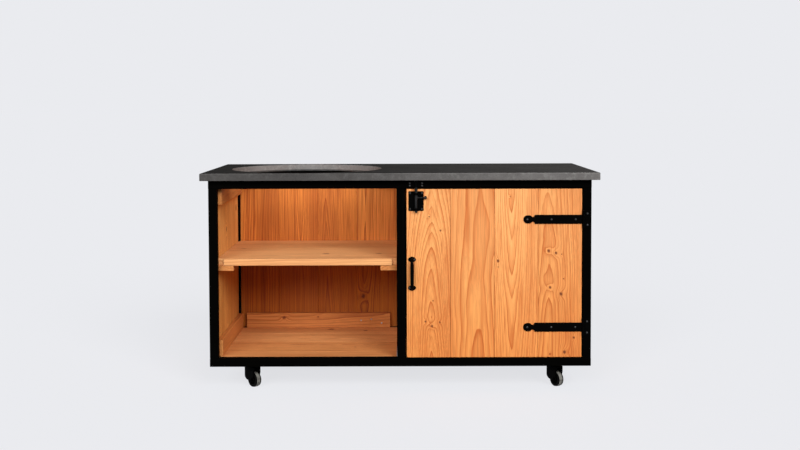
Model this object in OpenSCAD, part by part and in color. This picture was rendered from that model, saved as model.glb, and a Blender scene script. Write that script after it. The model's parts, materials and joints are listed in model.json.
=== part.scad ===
// Wheeled outdoor kitchen: a welded square-tube frame, a stone worktop with a round cut-out,
// softwood panels, an open bay with a shelf and a cupboard behind a boarded door.
// X runs to the right, Y to the back, Z up. The origin is on the floor under the frame's centre.

/* [Frame] */
// Outer width of the welded frame
frame_w = 1570; // [1300:10:2000]
// Outer depth of the welded frame
frame_d = 660; // [560:10:800]
// Height of the welded frame, from the underside of its lower rails to the worktop
frame_h = 770; // [680:10:850]
// Side of the square tube
tube = 35; // [30:1:45]
// Wall of the tubes
tube_wall = 2; // [1.5:0.5:3]
// Outer corner radius of the tubes
tube_r = 3; // [2:0.5:4]
// How far the middle posts stand to the right of the centre
post_shift = 4; // [-40:1:40]

/* [Worktop] */
// Thickness of the stone
stone_t = 30; // [20:1:40]
// Overhang of the stone past the frame, all round
overhang = 30; // [25:1:60]
// Width of the bevel along the stone's edges
stone_bevel = 2.5; // [1:0.5:5]
// Diameter of the round cut-out
cutout_d = 650; // [400:10:680]
// How far the cut-out lies to the left of the middle of the open bay
cutout_shift = 25; // [0:1:40]

/* [Panels] */
// Face width of a full board
board_w = 181; // [140:1:200]
// Thickness of the back, side, partition and floor boards
board_t = 20; // [16:1:24]
// Gap between two boards
board_gap = 1; // [0.5:0.5:3]
// Bevel along the long edges of each board
board_bevel = 1.5; // [0.5:0.5:3]
// Narrowest strip that a row of boards may end with
board_rip = 35; // [20:1:60]
// Distance of the side boards' inner faces from the tubes' inner faces
side_recess = 8; // [4:1:12]
// Free space at either end of the back boards
back_clearance = 1; // [1:0.5:6]
// Free space above the upright boards
head_clearance = 1; // [0.5:0.5:3]
// Width of the battens and cleats
batten_w = 68; // [50:1:80]
// Thickness of the battens and cleats
batten_t = 22; // [18:1:28]
// Width of the foremost floor board
floor_first_w = 88; // [60:1:120]

/* [Shelf] */
// Height of the shelf's top above the floor that the kitchen stands on
shelf_z = 542; // [420:1:640]
// Thickness of the shelf boards
shelf_t = 28; // [20:1:35]
// Width of the foremost shelf board
shelf_first_w = 146; // [100:1:181]
// How far the notches in the shelf's front corners reach in past the posts
shelf_notch = 18; // [5:1:30]
// Depth of those notches
shelf_notch_in = 12; // [5:1:30]

/* [Door] */
// Thickness of the door boards
door_t = 28; // [22:1:34]
// Gap between the door and the middle post
door_gap_lock = 5.5; // [3:0.5:8]
// Gap between the door and the post that it hangs on
door_gap_hinge = 4; // [0.8:0.1:5]
// Gap above and below the door
door_gap_z = 2.5; // [2:0.5:8]
// Distance of the ledges on the back from the door's edges
ledge_inset = 12; // [8:1:60]

/* [Hinges] */
// Distance of the lower hinge from the door's lower edge
hinge_in_low = 125; // [100:0.5:190]
// Distance of the upper hinge from the door's upper edge
hinge_in_high = 125; // [100:0.5:190]
// Width of the strap
strap_w = 37; // [28:1:42]
// Length of the strap from the pin to the centre of its round end
strap_len = 229; // [180:1:300]
// Thickness of strap and leaf
strap_t = 4; // [3:0.5:4]
// Diameter of the strap's round end
strap_end_d = 33.5; // [26:0.5:34]
// Height of the leaf on the post
leaf_h = 70; // [60:1:80]
// Width of the leaf from the pin to its free edge
leaf_w = 28; // [24:1:30]
// Diameter of the hinge pin
pin_d = 6; // [5:0.5:6]
// Outer diameter of the rolled knuckles
knuckle_d = 10; // [9:0.5:11]
// Distance of the pin from the door's face
pin_out = 6; // [6:0.5:7]

/* [Handle] */
// Distance of the handle's centre line from the door's free edge
handle_inset = 22; // [20:1:35]
// Height of the handle's centre
handle_z = 485; // [440:1:560]
// Distance between the centres of the handle's two feet
handle_pitch = 117; // [90:1:150]
// Distance of the grip's centre line from the door
handle_out = 22; // [20:1:22]
// Diameter of the grip at its middle
grip_d = 15; // [11:0.5:16]
// Diameter of the grip at its two ends
grip_end_d = 11.5; // [9:0.5:13]
// Diameter of the two necks between feet and grip
neck_d = 9; // [7:0.5:9.5]

/* [Slide bolt] */
// Width of the bolt's plate
plate_w = 62; // [50:1:64]
// Height of the bolt's plate
plate_h = 81; // [74:1:84]
// Thickness of the plates
plate_t = 2.5; // [2:0.5:3]
// Diameter of the sliding rod
rod_d = 12; // [10:0.5:13]
// How far the rod's tip stands above the keeper
rod_above = 1.5; // [0:0.5:3]
// Distance of the plate's upper edge from the door's top
plate_drop = 8; // [6:1:14]
// Distance of the rod from the door's free edge
rod_inset = 39; // [36:1:44]
// Travel of the rod
rod_travel = 36; // [34:1:38]

/* [Casters] */
// Overall height of a caster
caster_h = 100; // [96:1:110]
// Diameter of a wheel
wheel_d = 62; // [56:1:66]
// Width of a wheel
wheel_w = 26; // [20:1:28]
// Trail of the wheel behind its swivel
trail = 27; // [22:1:30]
// Distance of the swivels from the frame's ends
caster_in_x = 150; // [120:1:220]
// How far the swivels stand to the right of even distances
caster_shift = 5; // [-20:1:20]
// Distance of the swivels from the frame's front and back
caster_in_y = 90; // [80:1:140]
// Angle to which the front left caster has turned
front_left_turn = -45; // [-180:1:180]
// Angle to which the front right caster has turned
front_right_turn = -59; // [-180:1:180]
// Angle to which the two rear casters have turned
rear_turn = 35; // [-180:5:180]

/* [Hidden] */
$fn = 48;

black = [0.06, 0.06, 0.065];
grey_stone = [0.2, 0.2, 0.22];
fir = [0.8, 0.5, 0.27];
fir_light = [0.88, 0.6, 0.36];
zinc = [0.75, 0.75, 0.76];
tread_grey = [0.68, 0.68, 0.66];

// Frame lines
half_w = frame_w / 2;
half_d = frame_d / 2;
inner_w = half_w - tube;
inner_d = half_d - tube;
frame_z0 = caster_h;
floor_z = frame_z0 + tube;
frame_z1 = frame_z0 + frame_h;
rail_z = frame_z1 - tube;
bay_h = rail_z - floor_z;
mid_x0 = post_shift - tube / 2;
mid_x1 = post_shift + tube / 2;
tube_hollow = tube - 2 * tube_wall;

// Worktop
cutout_x = (mid_x0 - inner_w) / 2 - cutout_shift;

// Panels
side_face = inner_w + side_recess;
back_face = half_d - board_t;
board_len = bay_h - head_clearance;
bearer_h = tube - board_t;
bearer_w = 60;
bearer_wall = 2;
end_gap = 1;
front_gap = 2;
batten_y0 = -inner_d + front_gap;

// Shelf
shelf_y0 = -inner_d + front_gap;
cleat_short = 4;
cleat_z = shelf_z - shelf_t - batten_t;

// Door
door_boards = 4;
door_x0 = mid_x1 + door_gap_lock;
door_x1 = inner_w - door_gap_hinge;
door_z0 = floor_z + door_gap_z;
door_z1 = rail_z - door_gap_z;
door_board_gap = 0.8;
door_board_w = (door_x1 - door_x0 - (door_boards - 1) * door_board_gap) / door_boards;
door_y1 = -half_d + door_t;

// Hinges
hinge_low_z = door_z0 + hinge_in_low;
hinge_high_z = door_z1 - hinge_in_high;
pin_over_post = 1;
pin_x = inner_w + pin_over_post;
pin_y = -half_d - pin_out;
pin_play = 0.05;
pin_head_h = 2;
pin_head_d = pin_d + 2.5;
knuckle_gap = 0.4;
strap_end_x = pin_x - strap_len;
strap_neck_w = 12;
strap_neck_len = 9;
strap_slant = 5;
strap_stop = 3;
strap_screw_in = 31;
leaf_t = 3;
leaf_screw_in = 11.2;
leaf_screw_end = 11.9;
leaf_play = 1.2;

// Handle
handle_x = door_x0 + handle_inset;
foot_t = 4;
foot_w = 33;
foot_h = 24;
handle_screw_out = 10;

// Slide bolt
rod_x = door_x0 + rod_inset;
plate_x0 = rod_x - plate_w / 2;
plate_z1 = door_z1 - plate_drop;
plate_z0 = plate_z1 - plate_h;
plate_r = 4;
plate_screw_in_x = 7;
plate_screw_in_z = 8;
rod_below = 6;
rod_lift = 0.8;
rod_tip = 2;
rod_z0 = plate_z0 - rod_below;
rod_y = -half_d - plate_t - rod_d / 2 - rod_lift;
rod_play = 0.1;
guide_h = 10;
guide_wall = 2.5;
arm_d = 6;
arm_len = 38;
ball_d = 14;
guide_in_low = 2;
guide_in_high = 6;
arm_stop = 4;
arm_z = plate_z0 + guide_in_low + guide_h + arm_stop + arm_d / 2 + rod_travel;
keeper_h = 25;
keeper_z = rail_z + (tube - keeper_h) / 2;
keeper_play = 0.5;
keeper_screw_in_x = 6;
keeper_screw_in_z = 7;
rod_len = keeper_z + keeper_h + rod_above - rod_z0;

// Screws
screw_d = 4.4;
screw_play = 0.1;
head_d = 9;
head_h = 2.4;
head_dome_r = 6;
wood_screw_len = 24;
plate_screw_len = 20;
metal_screw_len = 12;
batten_screw_bite = 13;
batten_screw_len = batten_t + batten_screw_bite;
// Places of the screws in the rear batten: left of the middle post, and above the floor
batten_screw_at = [[170.5, 33], [122.5, 38], [73.5, 20]];

// Casters
caster_x = [caster_shift - half_w + caster_in_x, caster_shift + half_w - caster_in_x];
caster_y = half_d - caster_in_y;
wheel_r = wheel_d / 2;
tread_t = 6;
flange_t = 3;
flange_drop = 1.5;
fork_t = 2.5;
fork_gap = 1.5;
fork_in = wheel_w / 2 + fork_gap;
fork_plate_t = 3;
fork_plate_r = 30;
hood_front = -30;
hood_back = 46;
swivel_h = 15;
fork_top = caster_h - swivel_h;
race_r = 26;
race_h = 5;
race_gap = 0.4;
stem_d = 12;
stem_play = 0.4;
axle_d = 8;
axle_play = 0.05;
boss_r = 9;

// Rectangle with a small bevel on each corner
module bevelled_rect(w, t, b) {
    polygon([[b, 0], [w - b, 0], [w, b], [w, t - b], [w - b, t], [b, t], [0, t - b], [0, b]]);
}

// Rectangle with round corners
module round_rect(w, h, r) {
    translate([r, 0]) square([w - 2 * r, h]);
    translate([0, r]) square([w, h - 2 * r]);
    for (x = [r, w - r], y = [r, h - r])
        translate([x, y]) circle(r, $fn = 24);
}

// Extrudes a profile along X: the profile's own x becomes Y and its y becomes Z
module along_x(length) {
    rotate([90, 0, 90]) linear_extrude(length) children();
}

// Extrudes a profile along Y: the profile's own x stays X and its y becomes Z
module along_y(length) {
    translate([0, length, 0]) rotate([90, 0, 0]) linear_extrude(length) children();
}

// Profile of the hollow square tube
module tube_profile() {
    difference() {
        round_rect(tube, tube, tube_r);
        translate([tube_wall, tube_wall]) square(tube_hollow);
    }
}

// Upright tube between the lower and the upper rails
module post(x, y) {
    color(black) translate([x, y, floor_z]) linear_extrude(bay_h) tube_profile();
}

// Long rail with mitred ends: it lies along the front, or is mirrored to the back
module long_rail(z) {
    color(black) intersection() {
        translate([-half_w, -half_d, z]) along_x(frame_w) tube_profile();
        translate([0, 0, z]) linear_extrude(tube)
            polygon([[-half_w, -half_d], [half_w, -half_d], [inner_w, -inner_d], [-inner_w, -inner_d]]);
    }
}

// Short rail with mitred ends at the left end, or mirrored to the right end
module end_rail(z) {
    intersection() {
        translate([-half_w, -half_d, z]) along_y(frame_d) tube_profile();
        translate([0, 0, z]) linear_extrude(tube)
            polygon([[-half_w, -half_d], [-half_w, half_d], [-inner_w, inner_d], [-inner_w, -inner_d]]);
    }
}

// The three rails that run from front to back, at one height
module cross_rails(z) {
    color(black) {
        end_rail(z);
        mirror([1, 0, 0]) end_rail(z);
        translate([mid_x0, -inner_d, z]) along_y(2 * inner_d) tube_profile();
    }
}

// Start of board i in a row whose first board may have its own width
function board_start(i, first) = i == 0 ? 0 : first + board_gap + (i - 1) * (board_w + board_gap);
// Number of boards in a row: the last one is ripped, or a little wider, to fill the row
function board_count(span, first) = floor((span - first - board_gap - board_rip) / (board_w + board_gap)) + 2;
// Width of board i
function row_width(i, span, first) =
    i == board_count(span, first) - 1 ? span - board_start(i, first)
    : i == 0 ? first : board_w;

// Upright boards side by side along X
module boards_upright_x(span, length, thickness) {
    for (i = [0 : board_count(span, board_w) - 1])
        translate([board_start(i, board_w), 0, 0]) linear_extrude(length)
            bevelled_rect(row_width(i, span, board_w), thickness, board_bevel);
}

// Upright boards side by side along Y
module boards_upright_y(span, length, thickness) {
    for (i = [0 : board_count(span, board_w) - 1])
        translate([0, board_start(i, board_w), 0]) linear_extrude(length)
            bevelled_rect(thickness, row_width(i, span, board_w), board_bevel);
}

// Lying boards side by side along Y
module boards_lying(length, span, thickness, first) {
    for (i = [0 : board_count(span, first) - 1])
        translate([0, board_start(i, first), 0])
            along_x(length) bevelled_rect(row_width(i, span, first), thickness, board_bevel);
}

// Screw with a domed head: it points along -Z, and its head sits on Z = 0
module screw(length) {
    intersection() {
        cylinder(h = head_h, d = head_d);
        translate([0, 0, head_h - head_dome_r]) sphere(r = head_dome_r);
    }
    translate([0, 0, -length]) cylinder(h = length, d = screw_d);
}

// Hole for that screw
module screw_hole(length) {
    translate([0, 0, -length - 1]) cylinder(h = length + 2, d = screw_d + 2 * screw_play);
}

// Puts children on the front of the door or frame, pointing at the viewer
module on_front(x, z, out) {
    translate([x, -half_d - out, z]) rotate([90, 0, 0]) children();
}

// Places of the three screws in each strap: one in the round end, two in the bar
module at_strap_screws() {
    last = strap_len - strap_screw_in;
    for (z = [hinge_low_z, hinge_high_z], s = [0, last / 2, last])
        on_front(strap_end_x + s, z, strap_t) children();
}

// Places of the two screws in each leaf
module at_leaf_screws() {
    for (z = [hinge_low_z, hinge_high_z], s = [-1, 1])
        on_front(pin_x + leaf_w - leaf_screw_in, z + s * (leaf_h / 2 - leaf_screw_end), leaf_t) children();
}

// Places of the screws in the handle's feet
module at_handle_screws() {
    for (s = [-1, 1])
        on_front(handle_x + s * handle_screw_out, handle_z + s * handle_pitch / 2, foot_t) children();
}

// Places of the four screws in the bolt's plate
module at_plate_screws() {
    for (x = [plate_screw_in_x, plate_w - plate_screw_in_x])
        for (z = [plate_screw_in_z, plate_h - plate_screw_in_z])
            on_front(plate_x0 + x, plate_z0 + z, plate_t) children();
}

// Places of the four screws in the keeper
module at_keeper_screws() {
    for (x = [keeper_screw_in_x, plate_w - keeper_screw_in_x])
        for (z = [keeper_screw_in_z, keeper_h - keeper_screw_in_z])
            on_front(plate_x0 + x, keeper_z + z, plate_t) children();
}

// Places of the three screws near the right end of the open bay's rear batten
module at_batten_screws() {
    for (p = batten_screw_at)
        translate([mid_x0 - p[0], back_face - batten_t, floor_z + p[1]]) rotate([90, 0, 0]) children();
}

module front_left_post() post(-half_w, -half_d);
module front_middle_post() post(mid_x0, -half_d);
module front_right_post() {
    difference() {
        post(inner_w, -half_d);
        at_leaf_screws() screw_hole(metal_screw_len);
    }
}
module back_left_post() post(-half_w, inner_d);
module back_middle_post() post(mid_x0, inner_d);
module back_right_post() post(inner_w, inner_d);

module top_front_rail() {
    difference() {
        long_rail(rail_z);
        at_keeper_screws() screw_hole(metal_screw_len);
    }
}
module top_back_rail() mirror([0, 1, 0]) long_rail(rail_z);
module top_cross_rails() cross_rails(rail_z);
module bottom_front_rail() long_rail(frame_z0);
module bottom_back_rail() mirror([0, 1, 0]) long_rail(frame_z0);
module bottom_cross_rails() cross_rails(frame_z0);

// Flat tubes between the lower rails: the floor lies on them, and the outer two hold the casters
module floor_bearers() {
    inner_bearer_in = 45;
    middles = [caster_x[0], mid_x0 - inner_bearer_in, mid_x1 + inner_bearer_in, caster_x[1]];
    color(black) difference() {
        for (x = middles)
            translate([x - bearer_w / 2, -inner_d, frame_z0]) along_y(2 * inner_d) difference() {
                square([bearer_w, bearer_h]);
                translate([bearer_wall, bearer_wall])
                    square([bearer_w - 2 * bearer_wall, bearer_h - 2 * bearer_wall]);
            }
        for (x = caster_x, y = [-caster_y, caster_y])
            translate([x, y, frame_z0 - 1]) cylinder(h = bearer_wall + 2, d = stem_d + 2 * stem_play);
    }
}

// Stone slab with bevelled edges and the polished round cut-out
module worktop() {
    w = frame_w + 2 * overhang;
    d = frame_d + 2 * overhang;
    rim = 2;
    color(grey_stone) difference() {
        intersection() {
            translate([-w / 2, -d / 2, frame_z1]) linear_extrude(stone_t) bevelled_rect(w, d, stone_bevel);
            translate([-w / 2, -d / 2, frame_z1]) along_x(w) bevelled_rect(d, stone_t, stone_bevel);
            translate([-w / 2, -d / 2, frame_z1]) along_y(d) bevelled_rect(w, stone_t, stone_bevel);
        }
        translate([cutout_x, 0, frame_z1 - 1]) cylinder(h = stone_t + 2, d = cutout_d, $fn = 96);
        translate([cutout_x, 0, frame_z1 + stone_t - rim])
            cylinder(h = rim + 0.01, r1 = cutout_d / 2, r2 = cutout_d / 2 + rim, $fn = 96);
    }
}

// Boards of one half of the back, standing on the lower rail between the back posts
module back_boards(x0, x1) {
    color(fir) translate([x0 + back_clearance, back_face, floor_z])
        boards_upright_x(x1 - x0 - 2 * back_clearance, board_len, board_t);
}
module back_boards_left() {
    difference() {
        back_boards(-inner_w, mid_x0);
        at_batten_screws() screw_hole(batten_screw_len);
    }
}
module back_boards_right() back_boards(mid_x1, inner_w);

// Boards of the left end, standing on the lower rail between the end posts
module left_side_boards() {
    color(fir) translate([-side_face - board_t, -inner_d + end_gap, floor_z])
        boards_upright_y(2 * (inner_d - end_gap), board_len, board_t);
}
module right_side_boards() mirror([1, 0, 0]) left_side_boards();

// Boards of the wall between the open bay and the cupboard
module partition_boards() {
    color(fir) translate([mid_x0, -inner_d + end_gap, floor_z])
        boards_upright_y(2 * (inner_d - end_gap), board_len, board_t);
}

// Floor boards of one bay, flush with the lower rails
module floor_boards(x0, x1) {
    color(fir) translate([x0 + end_gap, -inner_d + end_gap, floor_z - board_t])
        boards_lying(x1 - x0 - 2 * end_gap, 2 * (inner_d - end_gap), board_t, floor_first_w);
}
module floor_boards_left() floor_boards(-inner_w, mid_x0);
module floor_boards_right() floor_boards(mid_x1, inner_w);

// Space that the shelf and its cleat leave for the back left post
module post_notch() {
    translate([-half_w, inner_d - end_gap, floor_z]) cube([tube + end_gap, tube, bay_h]);
}

// Shelf boards on their cleats, from just behind the front posts to the back boards
module shelf_boards() {
    x0 = -side_face + end_gap;
    x1 = mid_x0 - end_gap;
    color(fir_light) difference() {
        translate([x0, shelf_y0, shelf_z - shelf_t])
            boards_lying(x1 - x0, back_face - shelf_y0, shelf_t, shelf_first_w);
        for (span = [[x0 - 1, -inner_w + shelf_notch], [mid_x0 - shelf_notch, x1 + 1]])
            translate([span[0], shelf_y0 - 1, shelf_z - shelf_t - 1])
                cube([span[1] - span[0], shelf_notch_in + 1, shelf_t + 2]);
        post_notch();
    }
}

// Battens that join the boards of the ends and the partition, below and above
module side_battens() {
    length = back_face - batten_t - batten_y0;
    color(fir) for (z = [floor_z, rail_z - batten_w])
        for (x = [-side_face, mid_x0 + board_t, side_face - batten_t])
            translate([x, batten_y0, z]) along_y(length) bevelled_rect(batten_t, batten_w, board_bevel);
}

// Battens on the floor that join the back boards
module rear_battens() {
    gap_left = 30;
    gap_right = 33;
    left_len = mid_x0 - gap_right + inner_w - gap_left;
    right_len = inner_w - mid_x1 - 2 * gap_right;
    color(fir) difference() {
        union() {
            translate([-inner_w + gap_left, back_face - batten_t, floor_z]) along_x(left_len)
                bevelled_rect(batten_t, batten_w, board_bevel);
            translate([mid_x1 + gap_right, back_face - batten_t, floor_z]) along_x(right_len)
                bevelled_rect(batten_t, batten_w, board_bevel);
        }
        at_batten_screws() screw_hole(batten_screw_len);
    }
}

// Flat cleats under the ends of the shelf
module shelf_cleats() {
    color(fir) difference() {
        for (x = [-side_face, mid_x0 - batten_w])
            translate([x, shelf_y0 + cleat_short, cleat_z]) along_y(back_face - shelf_y0 - 2 * cleat_short)
                bevelled_rect(batten_w, batten_t, board_bevel);
        post_notch();
    }
}

module batten_screws() {
    color(zinc) at_batten_screws() screw(batten_screw_len);
}

// One upright board of the door, with the holes of whatever is screwed to it
module door_board(i) {
    color(fir_light) difference() {
        translate([door_x0 + i * (door_board_w + door_board_gap), -half_d, door_z0])
            linear_extrude(door_z1 - door_z0) bevelled_rect(door_board_w, door_t, board_bevel);
        at_strap_screws() screw_hole(wood_screw_len);
        at_handle_screws() screw_hole(wood_screw_len);
        at_plate_screws() screw_hole(wood_screw_len);
    }
}
module door_board_1() door_board(0);
module door_board_2() door_board(1);
module door_board_3() door_board(2);
module door_board_4() door_board(3);

// Ledges across the back of the door, behind the hinges
module door_ledges() {
    color(fir) for (z = [hinge_low_z, hinge_high_z])
        translate([door_x0 + ledge_inset, door_y1, z - batten_w / 2])
            along_x(door_x1 - door_x0 - 2 * ledge_inset) bevelled_rect(batten_t, batten_w, board_bevel);
}

// Strap hinge seen from the front: round end, narrow neck, bar with a curled shoulder, knuckle
module hinge_strap(z) {
    end_r = strap_end_d / 2;
    bar_x0 = strap_end_x + end_r + strap_neck_len;
    bar_x1 = inner_w - strap_stop;
    eye_h = strap_w - 2 * knuckle_gap;
    color(black) difference() {
        union() {
            translate([0, -half_d, 0]) rotate([90, 0, 0]) linear_extrude(strap_t) {
                translate([strap_end_x, z]) circle(end_r);
                translate([strap_end_x, z - strap_neck_w / 2])
                    square([bar_x0 + strap_slant - strap_end_x, strap_neck_w]);
                polygon([
                    [bar_x0, z], [bar_x0 + strap_slant, z - strap_w / 2], [bar_x1, z - strap_w / 2],
                    [bar_x1, z + strap_w / 2], [bar_x0 + strap_slant, z + strap_w / 2]
                ]);
            }
            translate([bar_x1 - 1, -half_d - strap_t, z - eye_h / 2])
                cube([pin_x - bar_x1 + 1, strap_t - 1, eye_h]);
            translate([pin_x, pin_y, z - eye_h / 2]) cylinder(h = eye_h, d = knuckle_d);
        }
        translate([pin_x, pin_y, z - strap_w]) cylinder(h = 2 * strap_w, d = pin_d + 2 * pin_play);
        at_strap_screws() screw_hole(wood_screw_len);
    }
}
module upper_hinge_strap() hinge_strap(hinge_high_z);
module lower_hinge_strap() hinge_strap(hinge_low_z);

// Leaf on the post with the two outer knuckles
module hinge_leaf(z) {
    knuckle_h = (leaf_h - strap_w) / 2;
    color(black) difference() {
        union() {
            translate([pin_x, -half_d - leaf_t, z - leaf_h / 2]) cube([leaf_w, leaf_t, leaf_h]);
            for (z0 = [z - leaf_h / 2, z + strap_w / 2])
                translate([pin_x, pin_y, z0]) cylinder(h = knuckle_h, d = knuckle_d);
        }
        translate([0, 0, z - strap_w / 2]) linear_extrude(strap_w)
            translate([pin_x, pin_y]) circle(knuckle_d / 2 + leaf_play);
        translate([pin_x, pin_y, z - leaf_h]) cylinder(h = 2 * leaf_h, d = pin_d + 2 * pin_play);
        at_leaf_screws() screw_hole(metal_screw_len);
    }
}
module upper_hinge_leaf() hinge_leaf(hinge_high_z);
module lower_hinge_leaf() hinge_leaf(hinge_low_z);

// Hinge pins with a flat head on top
module hinge_pins() {
    color(black) for (z = [hinge_low_z, hinge_high_z]) {
        translate([pin_x, pin_y, z - leaf_h / 2 - pin_head_h]) cylinder(h = leaf_h + pin_head_h, d = pin_d);
        translate([pin_x, pin_y, z + leaf_h / 2]) cylinder(h = pin_head_h, d = pin_head_d);
    }
}

// Cast pull handle: two flat feet, two necks and a grip that swells at its middle
module pull_handle() {
    grip_y = -half_d - handle_out;
    half_pitch = handle_pitch / 2;
    bulge = 38;
    color(black) difference() {
        union() {
            for (s = [-1, 1]) {
                on_front(handle_x, handle_z + s * half_pitch, 0) linear_extrude(foot_t)
                    polygon([
                        [-foot_w / 2, 0], [-foot_w / 4, -foot_h / 2], [foot_w / 4, -foot_h / 2],
                        [foot_w / 2, 0], [foot_w / 4, foot_h / 2], [-foot_w / 4, foot_h / 2]
                    ]);
                translate([handle_x, -half_d, handle_z + s * half_pitch]) rotate([90, 0, 0])
                    cylinder(h = handle_out, d = neck_d);
                translate([handle_x, grip_y, handle_z + s * half_pitch]) sphere(d = grip_end_d);
            }
            translate([handle_x, grip_y, handle_z - bulge]) cylinder(h = 2 * bulge, d = grip_d);
            translate([handle_x, grip_y, handle_z + bulge])
                cylinder(h = half_pitch - bulge, d1 = grip_d, d2 = grip_end_d);
            translate([handle_x, grip_y, handle_z - half_pitch])
                cylinder(h = half_pitch - bulge, d1 = grip_end_d, d2 = grip_d);
        }
        at_handle_screws() screw_hole(wood_screw_len);
    }
}

// Bridge that holds the rod on its plate
module rod_bridge(z, height, play) {
    r = rod_d / 2 + play + guide_wall;
    translate([0, 0, z]) linear_extrude(height) difference() {
        union() {
            translate([rod_x, rod_y]) circle(r);
            translate([rod_x - r, rod_y]) square([2 * r, -half_d - rod_y - plate_t / 2]);
        }
        translate([rod_x, rod_y]) circle(rod_d / 2 + play);
    }
}

// Plate of the slide bolt with its two guides
module bolt_plate() {
    color(black) difference() {
        union() {
            translate([plate_x0, -half_d, plate_z0]) rotate([90, 0, 0])
                linear_extrude(plate_t) round_rect(plate_w, plate_h, plate_r);
            rod_bridge(plate_z0 + guide_in_low, guide_h, rod_play);
            rod_bridge(plate_z1 - guide_in_high - guide_h, guide_h, rod_play);
        }
        at_plate_screws() screw_hole(wood_screw_len);
    }
}

// Sliding rod with its turned-out arm and ball
module bolt_rod() {
    color(zinc) {
        translate([rod_x, rod_y, rod_z0]) cylinder(h = rod_len - rod_tip, d = rod_d);
        translate([rod_x, rod_y, rod_z0 + rod_len - rod_tip])
            cylinder(h = rod_tip, d1 = rod_d, d2 = rod_d - 2 * rod_tip);
        translate([rod_x, rod_y, arm_z]) rotate([0, 90, 0]) cylinder(h = arm_len, d = arm_d);
        translate([rod_x + arm_len, rod_y, arm_z]) sphere(d = ball_d);
    }
}

// Keeper on the upper rail that the rod slides up into
module bolt_keeper() {
    color(black) difference() {
        union() {
            translate([plate_x0, -half_d, keeper_z]) rotate([90, 0, 0])
                linear_extrude(plate_t) round_rect(plate_w, keeper_h, plate_r);
            rod_bridge(keeper_z, keeper_h, keeper_play);
        }
        translate([rod_x, rod_y, keeper_z - 1]) cylinder(h = keeper_h + 2, d = rod_d + 2 * keeper_play);
        at_keeper_screws() screw_hole(metal_screw_len);
    }
}

// Screws that turn with the door
module door_screws() {
    color(black) {
        at_strap_screws() screw(wood_screw_len);
        at_handle_screws() screw(wood_screw_len);
        at_plate_screws() screw(plate_screw_len);
    }
}

// Screws of the leaves and the keeper
module frame_screws() {
    color(black) {
        at_leaf_screws() screw(metal_screw_len);
        at_keeper_screws() screw(metal_screw_len);
    }
}

// Puts children at each caster's swivel
module at_swivels() {
    for (x = caster_x, y = [-caster_y, caster_y])
        translate([x, y, 0]) children();
}

// Upper races of the swivels, held against the bearers
module caster_heads() {
    race_z = fork_top + race_gap;
    color(black) at_swivels() difference() {
        union() {
            translate([0, 0, race_z]) cylinder(h = race_h, r1 = fork_plate_r, r2 = race_r);
            translate([0, 0, race_z + race_h]) cylinder(h = caster_h - race_z - race_h, r = stem_d);
        }
        translate([0, 0, race_z - 1]) cylinder(h = swivel_h + 2, d = stem_d + 2 * axle_play);
    }
}

// Stem bolts through the swivels, with their nuts inside the bearers
module caster_stems() {
    bolt_head_h = 4;
    bolt_head_d = 19;
    nut_h = 8;
    nut_d = 21.9;
    head_z1 = fork_top - fork_plate_t - race_gap;
    nut_z0 = caster_h + bearer_wall;
    color(zinc) at_swivels() {
        translate([0, 0, head_z1 - bolt_head_h]) cylinder(h = bolt_head_h, d = bolt_head_d);
        translate([0, 0, head_z1 - 1]) cylinder(h = nut_z0 + nut_h - head_z1 + 2, d = stem_d);
        translate([0, 0, nut_z0]) cylinder(h = nut_h, d = nut_d, $fn = 6);
    }
}

// Turns children to a caster's heading: its wheel trails along the local +X
module at_caster(side, end) {
    front_turn = side < 0 ? front_left_turn : front_right_turn;
    translate([side < 0 ? caster_x[0] : caster_x[1], end * caster_y, 0])
        rotate([0, 0, end < 0 ? front_turn : rear_turn]) children();
}

// Side view of the hooded fork: a deep front, and cheeks that sweep down to the axle
module fork_side() {
    front_drop = 39;
    back_drop = 23;
    sweep = [-6, 28];
    // Where the cheek's lower edge meets the round boss of the axle
    boss_angle = 235;
    polygon([
        [hood_front, fork_top], [hood_front, fork_top - front_drop], sweep,
        [trail + boss_r * cos(boss_angle), wheel_r + boss_r * sin(boss_angle)],
        [trail + boss_r, wheel_r], [hood_back, fork_top - back_drop], [hood_back, fork_top]
    ]);
    translate([trail, wheel_r]) circle(boss_r);
}

// Plan of the hood, or of its hollow: straight cheeks and a round front
module hood_plan(half, front, back) {
    translate([front + half, 0]) circle(half);
    translate([front + half, -half]) square([back - front - half, 2 * half]);
}

// Fork pressed from one sheet: a hood over the front and top of the wheel, with a round top plate
module fork(side, end) {
    color(black) at_caster(side, end) difference() {
        union() {
            translate([0, 0, fork_top - fork_plate_t]) cylinder(h = fork_plate_t, r = fork_plate_r);
            intersection() {
                difference() {
                    linear_extrude(fork_top) hood_plan(fork_in + fork_t, hood_front, hood_back);
                    translate([0, 0, -1]) linear_extrude(fork_top - fork_plate_t + 1)
                        hood_plan(fork_in, hood_front + fork_t, hood_back + 1);
                }
                translate([0, fork_in + fork_t, 0]) rotate([90, 0, 0])
                    linear_extrude(2 * (fork_in + fork_t)) fork_side();
            }
        }
        cylinder(h = caster_h, d = stem_d + 2 * stem_play);
        translate([trail, 0, wheel_r]) rotate([90, 0, 0])
            cylinder(h = 4 * fork_in, d = axle_d + 2 * axle_play, center = true);
    }
}

// Axle bolt with its head and nut outside the fork
module axle(side, end) {
    head_t = 4;
    hex_d = 14;
    thread_end = 1.5;
    reach = fork_in + fork_t;
    color(zinc) at_caster(side, end) translate([trail, 0, wheel_r]) rotate([90, 0, 0]) {
        translate([0, 0, -reach - head_t]) cylinder(h = 2 * (reach + head_t) + thread_end, d = axle_d);
        for (z = [-reach - head_t, reach]) translate([0, 0, z]) cylinder(h = head_t, d = hex_d, $fn = 6);
    }
}

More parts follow.
